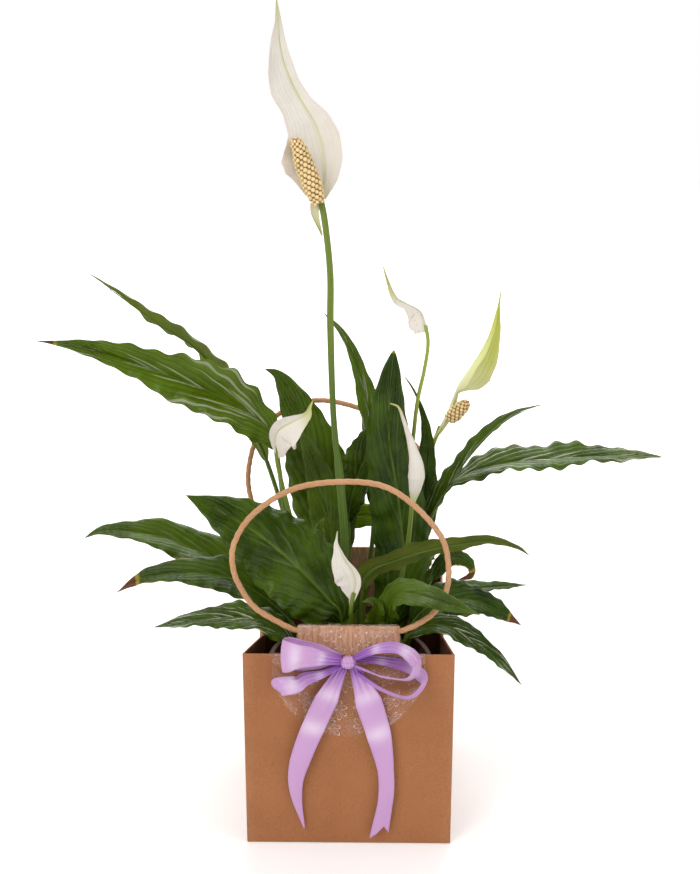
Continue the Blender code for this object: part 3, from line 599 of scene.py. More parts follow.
def film_place(u, v):
    """The film at a share of its length and width: the bib outside, the part inside, and the back."""
    across = 2 * v - 1
    side = ease(abs(across) * BIB_HALF, TAB_HALF - 0.001, TAB_HALF + 0.003)
    top = tab_top + (BAG_HEIGHT + 0.0006 - tab_top) * side
    behind = FILM_BEHIND + (FILM_SIDE - FILM_BEHIND) * side
    foot = BIB_FOOT + (BAG_HEIGHT - 0.006 - BIB_FOOT) * (1 - math.sqrt(max(0.0, 1 - (across * 0.985) ** 2)))
    line = [(FILM_FRONT, foot), (FILM_FRONT, top - 0.001), (FILM_FRONT + 0.0008, top), (behind - 0.0004, top),
            (behind, top - 0.001), (behind, 0.03), (behind + 0.002, FILM_FLOOR),
            (inner_back - 0.002, FILM_FLOOR),
            (inner_back, 0.03), (inner_back, back_top - 0.002)]
    shares = [0.0, 0.15, 0.155, 0.165, 0.17, 0.42, 0.48, 0.66, 0.72, 1.0]
    for i in range(len(shares) - 1):
        if u <= shares[i + 1]:
            break
    part = (u - shares[i]) / (shares[i + 1] - shares[i])
    y = line[i][0] * (1 - part) + line[i + 1][0] * part
    z = line[i][1] * (1 - part) + line[i + 1][1] * part
    narrow = 1 - 0.30 * ease(u, 0.17, 0.40)
    x = across * BIB_HALF * narrow
    wave = noise.noise(Vector((x * 90, z * 90, 3.0 if u < 0.16 else 9.0)))
    if u < 0.15:
        y -= 0.0003 + 0.0005 * abs(wave) * ease(u, 0.0,
                                                0.05) + 0.0012 * ease(abs(across), 0.9, 1.0) * (1 + wave)
    elif u < 0.17:
        z += 0.0004 * abs(wave)
    else:
        y += (0.0004 if u < 0.5 else -0.0004) * (1 + wave) * (1 if abs(y) > 0.06 else 0)
    return Vector((x, y, z))


bm = start_shape()
lay_grid(bm, 260, 64, lambda u, v: (film_place(u, v), NO_MARKS))
surface = bm.loops.layers.uv["surface"]
for face in bm.faces:
    for loop in face.loops:
        u, v = loop[surface].uv
        loop[surface].uv = (v * 2 * BIB_HALF, u * FILM_LENGTH)
film = finish_shape("wrapping_film", bm, [FILM], ["wrapping_film"], closed=False)
wall = film.modifiers.new("wall", "SOLIDIFY")
wall.thickness = 0.00012
# The strip is narrower than its bib, so the cut is less than the rectangle round it.
print("film:", len(film.data.polygons), "faces")

# %% [markdown]
# ## Satin ribbon
# The bow is one length of satin ribbon 25 mm wide. Satin is smooth across and its long threads catch
# the light in broad soft bands, and the brightest bands here are painted highlights. Each run of the
# bow is a strip along its own line. Where the knot squeezes it, the strip is narrower and its spare
# width stands up in small pleats, which is how cloth keeps its width. Deep in the pleats the colour is
# painted darker and stronger, as painted shade for light that passes the cloth more than once.

# %% Satin finish
def satin():
    made, tree, shader = new_finish("satin ribbon", Specular_IOR_Level=1.0, Anisotropic=0.3,
                                    Sheen_Weight=0.35,
                                    Sheen_Roughness=0.35)
    shader["Sheen Tint"].default_value = (0.95, 0.82, 1.0, 1)
    place = surface_place(tree)
    threads = add(tree, "TexNoise", {"Vector": add(tree, "Mapping",
                                                   {0: place, "Scale": (14.0, 420.0, 1.0)}).outputs[0],
                                     "Scale": 1.0, "Detail": 2.0}, noise_dimensions="2D").outputs[0]
    weft = add(tree, "TexWave", {"Vector": place, "Scale": 160.0, "Distortion": 0.4},
               bands_direction="X").outputs[1]
    width = add(tree, "SeparateXYZ", {0: place}).outputs[1]
    from_edge = calc(tree, "MINIMUM", width, calc(tree, "SUBTRACT", 1.0, width))
    selvedge = rescale(tree, calc(tree, "ABSOLUTE", calc(tree, "SUBTRACT", from_edge, 0.05)), 0.022, 0.006)
    marks = marks_of(tree)
    painted_pleat_shade, satin_painted_highlight = marks[0], marks[1]
    tone = blend_colours(tree, threads, (0.56, 0.28, 0.60, 1), (0.70, 0.41, 0.72, 1))
    tone = blend_colours(tree, calc(tree, "MULTIPLY", selvedge, 0.35), tone, (0.36, 0.14, 0.55, 1))
    # Deeper, darker purple in the pleats and at the knot: painted shade.
    tone = blend_colours(tree, painted_pleat_shade, tone, (0.30, 0.07, 0.52, 1))
    # Pale bands painted into the colour: painted highlights on the satin.
    tone = blend_colours(tree, satin_painted_highlight, tone, (0.93, 0.80, 0.96, 1))
    tree.links.new(tone, shader["Base Color"])
    tree.links.new(rescale(tree, threads, 0.2, 0.8, 0.30, 0.42), shader["Roughness"])
    height = calc(tree, "ADD", calc(tree, "MULTIPLY", threads, 0.7), calc(tree, "MULTIPLY", weft, 0.2))
    tree.links.new(bump(tree, calc(tree, "SUBTRACT", height, selvedge), 0.18, 0.00012), shader["Normal"])
    return made


SATIN = satin()
print("satin ready")

# %% Ribbon runs
RIBBON_HALF = 0.0125
# This share isn't a cut size: ribbon is cut as a whole rectangle, so it should be 1. It only brings
# the runs inside the area test, because they narrow where real ribbon would fold into pleats.
LEFT_FACES = [(0, -1, 0.1), (0, -1, 0.15), (-0.3, -1, 0), (-1, 0, 0), (-0.3, 1, 0), (0, 1, 0), (0, 1, 0)]
RIGHT_FACES = [(0, -0.5, 1), (-0.2, -0.5, 1), (0.3, -0.5, 0.9), (1, -0.5, 0), (0.2, -0.5, -0.9),
               (0, -0.5, -0.9),
               (0, -0.5, -0.9)]
LOW_RIGHT_FACES = [(0, -0.7, 1), (0, -0.7, 1), (0.6, -0.7, 0.6), (1, -0.5, -0.2), (0.2, -0.6, -0.9),
                   (0, -0.7, -0.9), (0, -0.7, -0.9)]
LOW_LEFT_FACES = [(0, -0.4, 1), (0, -0.4, 1), (-0.4, -0.7, 0.7), (-0.7, -0.9, 0.3), (-0.6, -0.6, -0.6),
                  (0.2, -0.5, -1), (0.6, -0.3, -0.7), (0.3, -0.3, -1)]
TAIL_FACES = [(0, -1, 0), (0.25, -1, 0.1), (-0.1, -1, 0), (0.1, -1, 0)]
# Each run: name, line in cm, half widths in cm, faces, how far each place across the end reaches.
RIBBONS = [
    ("ribbon_loop_upper_left",
     [(-0.4, -8.3, 15.15), (-1.4, -8.5, 15.35), (-2.6, -8.95, 15.7), (-3.8, -9.25, 15.85),
      (-4.55, -8.9, 15.75),
      (-4.3, -8.2, 15.6), (-3.2, -7.9, 15.3), (-0.5, -7.85, 15.1)],
     [0.25, 0.45, 0.8, 1.1, 1.18, 1.15, 0.9, 0.3], LEFT_FACES, [1, 1]),
    ("ribbon_loop_lower_left",
     [(-0.4, -8.2, 14.7), (-1.8, -8.45, 14.15), (-3.0, -8.6, 13.85), (-3.5, -8.9, 13.65), (-4.3, -9.15, 13.6),
      (-4.95, -8.9, 13.35), (-4.5, -8.5, 12.75), (-3.6, -8.3, 12.7), (-2.9, -8.15, 13.3),
      (-0.9, -7.95, 14.4)],
     [0.2, 0.3, 0.45, 0.6, 0.65, 0.65, 0.6, 0.5, 0.4, 0.2], LOW_LEFT_FACES, [1, 1]),
    ("ribbon_loop_upper_right",
     [(0.4, -8.3, 15.3), (2.0, -8.45, 16.1), (3.6, -8.6, 16.2), (4.75, -9.0, 15.3), (4.2, -9.25, 14.3),
      (2.4, -9.1, 14.4), (0.5, -8.6, 14.9)],
     [0.22, 0.4, 0.5, 0.75, 0.75, 0.6, 0.25], RIGHT_FACES, [1, 1]),
    ("ribbon_loop_lower_right",
     [(0.4, -7.95, 15.1), (2.4, -8.0, 15.0), (4.3, -8.1, 14.5), (5.35, -8.3, 13.6), (4.3, -8.5, 12.5),
      (2.4, -8.4, 12.95), (0.6, -8.2, 14.2)],
     [0.22, 0.35, 0.45, 0.6, 0.55, 0.5, 0.22], LOW_RIGHT_FACES, [1, 1]),
    ("ribbon_tail_left",
     [(-0.35, -8.1, 14.6), (-1.5, -8.2, 12.2), (-2.9, -8.05, 8.8), (-3.75, -7.95, 6.0), (-3.75, -7.85, 3.9),
      (-3.25, -7.8, 1.5)],
     [0.28, 0.85, 0.85, 0.72, 0.42, 0.05], TAIL_FACES, [1, 1]),
    ("ribbon_tail_right",
     [(0.35, -8.1, 14.6), (1.4, -8.25, 12.0), (2.35, -8.05, 8.4), (2.75, -7.95, 4.8), (2.2, -7.85, 0.6)],
     [0.28, 0.95, 0.88, 0.58, 0.55, 0.68], TAIL_FACES, [1.0, 0.965, 0.92, 0.955]),
]


def painted_highlight_band(share, v):
    """A soft pale band across the satin: a painted highlight. It is painted into the colour, not a
    reflection, so it stays where it is when the light or the view changes."""
    bands = math.exp(-((share - 0.38) / 0.045) ** 2) + 0.8 * math.exp(-((share - 0.17) / 0.035) ** 2)
    return 0.65 * min(1.0, bands) * (0.45 + 0.55 * math.sin(math.pi * v))


def lay_ribbon(bm, spine, half_widths, reach, pleats, loose_end, steps_u=90, steps_v=24):
    def place(u, v):
        share = u * along(reach, 1 - v)
        point, side, up = spine.at(share)
        wide = along(half_widths, share) * CM
        squeeze = max(0.0, 1 - wide / RIBBON_HALF)
        if loose_end:
            squeeze *= 1 - ease(share, 0.15, 0.40)
        height = 0.0011 * squeeze * math.sin(2 * math.pi * pleats * v + 0.8) * (0.4 + 0.6 * squeeze)
        height += 0.0011 * math.sin(math.pi * v) * (1 - squeeze)
        height += 0.0009 * noise.noise(Vector((share * 7, v * 1.5, spine.length * 50)))
        # The first mark is painted shade deep in the pleats, the second a painted highlight band.
        return point + side * (wide * (2 * v - 1)) + up * height, (ease(squeeze, 0.40, 0.85) * 0.8,
                                                                   painted_highlight_band(share, v), 0.0)
    lay_grid(bm, steps_u, steps_v, place)


for name, line, half_widths, faces, reach in RIBBONS:
    spine = Spine(line, faces, 100)
    bm = start_shape()
    lay_ribbon(bm, spine, half_widths, reach, 3.0, "tail" in name)
    run = finish_shape(name, bm, [SATIN], [name], closed=False)
    wall = run.modifiers.new("wall", "SOLIDIFY")
    wall.thickness = 0.0003
    wall.offset = 0.0
    print(name, round(spine.length, 3), "m")

# %% [markdown]
# ## The knot
# The knot is the same ribbon wrapped once round the gathered middle. It is a short tube across the
# bow with soft pleats along it, drawn in at both ends where the loops leave.

# %% The knot
knot_low, knot_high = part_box("ribbon_knot")
knot_middle = (knot_low + knot_high) / 2
knot_spine = Spine([((knot_middle.x + shift) / CM, knot_middle.y / CM, knot_middle.z / CM)
                    for shift in (-0.0052, 0.0, 0.0052)], [(0, 0, 1)] * 2, 20)


def knot_radius(u, turn):
    bulge = math.sqrt(max(0.0, 1 - (2 * u - 1) ** 2 * 0.82))
    pleat = 1 + 0.06 * math.sin(2 * math.pi * (5 * u + 0.6 * math.sin(2 * math.pi * turn)))
    return 0.0049 * bulge * pleat * (1 + 0.08 * math.cos(4 * math.pi * turn))


bm = start_shape()
# The knot's gathered ends are marked for the painted shade of the pleats.
lay_tube(bm, knot_spine, 28, 36, knot_radius, marks=lambda u,
         turn: (0.35 * ease(abs(2 * u - 1), 0.5, 1.0), 0, 0))
finish_shape("ribbon_knot", bm, [SATIN], ["ribbon_knot"])
print("knot", [round(size * 1000) for size in knot_high - knot_low], "mm")

# %% [markdown]
# ## Nursery pot and soil
# The pot is thin moulded plastic, turned about its middle: half of its section is drawn and spun
# round. Its lip is turned out and down to stiffen it. The soil is a shallow mound of peat with
# lumps, and a few pale grains of perlite lie among them.

# %% Pot and soil finishes
def pot_plastic():
    made, tree, shader = new_finish("pot plastic", Roughness=0.42)
    place = object_place(tree)
    dust = add(tree, "TexNoise", {"Vector": place, "Scale": 60.0, "Detail": 6.0}).outputs[0]
    scuffs = add(tree, "TexNoise", {"Vector": add(tree, "Mapping",
                                                  {0: place, "Scale": (9, 9, 500)}).outputs[0],
                                    "Scale": 1.0, "Detail": 3.0}).outputs[0]
    tone = blend_colours(tree, rescale(tree, dust, 0.5, 0.75, 0.0, 0.35), (0.085, 0.022, 0.014, 1),
                         (0.20, 0.11, 0.08, 1))
    tree.links.new(tone, shader["Base Color"])
    tree.links.new(rescale(tree, scuffs, 0.3, 0.7, 0.32, 0.6), shader["Roughness"])
    tree.links.new(bump(tree, scuffs, 0.2, 0.0002), shader["Normal"])
    return made


def peat():
    made, tree, shader = new_finish("potting soil", Roughness=0.95, Specular_IOR_Level=0.2)
    place = object_place(tree)
    lumps = add(tree, "TexNoise", {"Vector": place, "Scale": 260.0, "Detail": 8.0,
                                   "Roughness": 0.7}).outputs[0]
    grains = add(tree, "TexVoronoi", {"Vector": place, "Scale": 330.0}).outputs[0]
    tone = blend_colours(tree, rescale(tree, lumps, 0.35, 0.7), (0.012, 0.007, 0.004, 1),
                         (0.075, 0.042, 0.022, 1))
    tone = blend_colours(tree, rescale(tree, grains, 0.12, 0.06), tone, (0.42, 0.38, 0.32, 1))
    tree.links.new(tone, shader["Base Color"])
    tree.links.new(bump(tree, lumps, 0.9, 0.001), shader["Normal"])
    return made


POT_PLASTIC = pot_plastic()
PEAT = peat()

# %% Pot and soil
pot_low, pot_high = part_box("nursery_pot")
POT_WALL = 0.0012
POT_BASE_RADIUS = 0.044
LIP_HEIGHT = 0.008
lip_radius = pot_high.x
body_radius = lip_radius - 0.0035


def make_pot():
    foot = pot_low.z
    top = pot_high.z
    lip_foot = top - LIP_HEIGHT
    section = [(0.0, foot + 0.002), (0.02, foot + 0.002), (0.036, foot + 0.0015), (0.040, foot)]
    section += [(POT_BASE_RADIUS - 0.0008, foot), (POT_BASE_RADIUS, foot + 0.001)]
    for step in range(1, 7):
        share = step / 6
        section.append((POT_BASE_RADIUS + (body_radius - 0.0006 - POT_BASE_RADIUS) * share,
                        foot + (lip_foot - foot) * share))
    section += [(lip_radius - 0.0006, lip_foot), (lip_radius, lip_foot + 0.0006), (lip_radius, top - 0.001)]
    section += [(lip_radius - 0.001, top), (body_radius - POT_WALL + 0.0006, top),
                (body_radius - POT_WALL, top - 0.0006)]
    section += [(POT_BASE_RADIUS - POT_WALL, foot + POT_WALL + 0.0025), (0.0, foot + POT_WALL + 0.003)]
    bm = start_shape()
    line = [bm.verts.new((radius, 0.0, height)) for radius, height in section]
    edges = [bm.edges.new(pair) for pair in zip(line, line[1:])]
    bmesh.ops.spin(bm, geom=line + edges, cent=(0, 0, 0), axis=(0, 0, 1), angle=2 * math.pi, steps=72,
                   use_merge=True)
    return finish_shape("nursery_pot", bm, [POT_PLASTIC], ["nursery_pot"], sharp=35)


def make_soil():
    low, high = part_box("potting_soil")
    radius = high.x - 0.0006

    def place(u, v):
        angle = 2 * math.pi * v
        out = min(1.0, u / 0.7)
        if u > 0.999:
            out = 0.0
        wide = radius * (out if u < 0.75 else out * 0.93)
        point = Vector((wide * math.cos(angle), wide * math.sin(angle), high.z))
        if u < 0.72:
            lump = noise.fractal(point * 190, 0.8, 2.0, 5)
            point.z += 0.0022 * lump - 0.0012 + 0.004 * (1 - out) - 0.002 * ease(out, 0.9, 1.0)
        else:
            point.z = high.z - 0.02 * (1 if u > 0.8 else 0.6)
        return point, NO_MARKS

    bm = start_shape()
    lay_grid(bm, 60, 120, place)
    return finish_shape("potting_soil", bm, [PEAT], ["potting_soil"], sharp=180)


pot = make_pot()
soil = make_soil()
print("pot and soil:", len(pot.data.polygons), "and", len(soil.data.polygons), "faces")

# %% [markdown]
# ## Leaf finishes
# A leaf of this plant is glossy above and matt below. Its side veins leave the midrib at a shallow
# angle and sweep on towards the tip, and the blade rises softly between them like a quilt. The veins
# are drawn from the leaf's own map: one node group turns the place along and across the blade into
# masks for the midrib, the side veins and the fine veins between them. The quilt itself is in the
# shape, with the same counts, so shape and colour agree.

# %% Leaf vein group
VEINS = 9.0
SWEEP = 4.2


def leaf_veins():
    tree, put, out = new_group("leaf veins", {"Veins": VEINS, "Sweep": SWEEP},
                               ["Vein", "Fine", "Midrib", "Across", "Phase"])
    place = surface_place(tree)
    parts = add(tree, "SeparateXYZ", {0: place}).outputs
    across = calc(tree, "ABSOLUTE", calc(tree, "MULTIPLY_ADD", parts[1], 2.0, -1.0))
    along_blade = calc(tree, "MULTIPLY", parts[0], put["Veins"])
    phase = calc(tree, "SUBTRACT", along_blade, calc(tree, "MULTIPLY", across, put["Sweep"]))
    wave = calc(tree, "ABSOLUTE", calc(tree, "SINE", calc(tree, "MULTIPLY", phase, math.pi)))
    fine = calc(tree, "ABSOLUTE", calc(tree, "SINE", calc(tree, "MULTIPLY", phase, math.pi * 5)))
    tree.links.new(rescale(tree, wave, 0.34, 0.02), out["Vein"])
    tree.links.new(rescale(tree, fine, 0.7, 0.05), out["Fine"])
    tree.links.new(rescale(tree, across, 0.075, 0.02), out["Midrib"])
    tree.links.new(across, out["Across"])
    tree.links.new(phase, out["Phase"])
    return tree


LEAF_VEINS = leaf_veins()
print("vein group:", len(LEAF_VEINS.nodes), "nodes")


# %% Leaf finishes
DRY_BROWN = (0.155, 0.062, 0.022, 1)
DRY_YELLOW = (0.40, 0.30, 0.045, 1)


def leaf_finish(name, dark, light, vein_tone, midrib_tone, rough, coat):
    """Marks: first dry and brown, second pale streaks of painted highlight, third a lighter and yellower
    leaf.
    """
    made, tree, shader = new_finish(name, Specular_IOR_Level=0.20, Coat_Weight=coat, Coat_Roughness=0.12)
    vein, fine, midrib, across, phase = group_node(tree, LEAF_VEINS, {"Veins": VEINS, "Sweep": SWEEP})
    dry, painted_streak, tint = marks_of(tree)
    place = object_place(tree)
    mottle = add(tree, "TexNoise", {"Vector": place, "Scale": 48.0, "Detail": 4.0}).outputs[0]
    along_veins = add(tree, "CombineXYZ", {0: phase, 1: calc(tree, "MULTIPLY", across, 0.6),
                                           2: tint}).outputs[0]
    streaks = add(tree, "TexNoise", {"Vector": along_veins, "Scale": 2.6, "Detail": 3.0}).outputs[0]
    tone = blend_colours(tree, rescale(tree, mottle, 0.3, 0.7), (*dark, 1), (*light, 1))
    tone = blend_colours(tree, calc(tree, "MULTIPLY", rescale(tree, streaks, 0.45, 0.70), 0.35), tone,
                         (*light, 1))
    tone = blend_colours(tree, tint, tone, (0.30, 0.46, 0.012, 1))
    tone = blend_colours(tree, calc(tree, "MULTIPLY", vein, 0.26), tone, (*vein_tone, 1))
    tone = blend_colours(tree, calc(tree, "MULTIPLY", fine, 0.16), tone, (*vein_tone, 1))
    tone = blend_colours(tree, calc(tree, "MULTIPLY", midrib, 0.55), tone, (*midrib_tone, 1))
    # The pale streaks are painted highlights: glossy white streaks painted into the colour.
    leaf_painted_highlight = calc(tree, "MULTIPLY", painted_streak, rescale(tree, streaks, 0.57, 0.63))
    tone = blend_colours(tree, leaf_painted_highlight, tone, (0.50, 0.54, 0.40, 1))
    specks = add(tree, "TexNoise", {"Vector": place, "Scale": 520.0, "Detail": 3.0}).outputs[0]
    scars = calc(tree, "MULTIPLY", rescale(tree, specks, 0.70, 0.76), 0.5)
    tone = blend_colours(tree, scars, tone, DRY_BROWN)
    ragged = calc(tree, "ADD", dry, calc(tree, "MULTIPLY_ADD", mottle, 0.7, -0.35))
    tone = blend_colours(tree, rescale(tree, ragged, 0.18, 0.42), tone, DRY_YELLOW)
    tone = blend_colours(tree, rescale(tree, ragged, 0.42, 0.58), tone, DRY_BROWN)
    tree.links.new(tone, shader["Base Color"])
    low, high = rough
    gloss = calc(tree, "ADD", rescale(tree, mottle, 0.3, 0.7, low, high), calc(tree, "MULTIPLY", dry, 0.35))
    tree.links.new(gloss, shader["Roughness"])
    relief = calc(tree, "ADD", calc(tree, "MULTIPLY", vein, -0.7), calc(tree, "MULTIPLY", fine, -0.22))
    relief = calc(tree, "ADD", relief, calc(tree, "MULTIPLY", mottle, 0.5))
    relief = calc(tree, "ADD", relief, calc(tree, "MULTIPLY", specks, 0.12))
    tree.links.new(bump(tree, relief, 0.55, 0.0005), shader["Normal"])
    return made


LEAF_TOP = leaf_finish("leaf upper side", (0.010, 0.029, 0.0008), (0.048, 0.098, 0.0015),
                       (0.007, 0.021, 0.0008),
                       (0.12, 0.19, 0.018), (0.24, 0.36), 0.10)
LEAF_UNDER = leaf_finish("leaf under side", (0.070, 0.092, 0.010), (0.125, 0.150, 0.020),
                         (0.060, 0.080, 0.008),
                         (0.19, 0.24, 0.04), (0.46, 0.58), 0.0)
print("leaf finishes ready")

# %% Stalk finish
def stalk_finish():
    """Marks: the first is the pale, sheathed lower part."""
    made, tree, shader = new_finish("stalk", Specular_IOR_Level=0.45)
    place = surface_place(tree)
    fibres = add(tree, "TexNoise", {"Vector": add(tree, "Mapping",
                                                  {0: place, "Scale": (3.0, 26.0, 1.0)}).outputs[0],
                                    "Scale": 1.0, "Detail": 4.0}, noise_dimensions="2D").outputs[0]
    blotch = add(tree, "TexNoise", {"Vector": object_place(tree), "Scale": 90.0, "Detail": 3.0})
    pale = marks_of(tree)[0]
    tone = blend_colours(tree, rescale(tree, fibres, 0.3, 0.7), (0.060, 0.120, 0.008, 1),
                         (0.135, 0.215, 0.018, 1))
    tone = blend_colours(tree, pale, tone, (0.40, 0.46, 0.07, 1))
    tone = blend_colours(tree, calc(tree, "MULTIPLY", rescale(tree, blotch.outputs[0], 0.6, 0.75), 0.3), tone,
                         (0.06, 0.07, 0.02, 1))
    tree.links.new(tone, shader["Base Color"])
    tree.links.new(rescale(tree, fibres, 0.2, 0.8, 0.32, 0.5), shader["Roughness"])
    tree.links.new(bump(tree, fibres, 0.5, 0.0003), shader["Normal"])
    return made


STALK = stalk_finish()
print("stalk finish ready")

# %% [markdown]
# ## Leaves
# Each leaf grows from the crown as a stalk that runs on under the blade as its midrib. The blade is a
# thin closed shell: its width follows one outline for all leaves, a long oval with a drawn-out tip.
# Its height has the fold along the midrib, the droop and slow waves of its edges, and the quilt
# between the veins. Leaves are never alike, so each has its own waves; some have dry tips, some
# pale streaks of painted highlight, and some a yellower green.

# %% Leaf tables
CROWN = 10.85
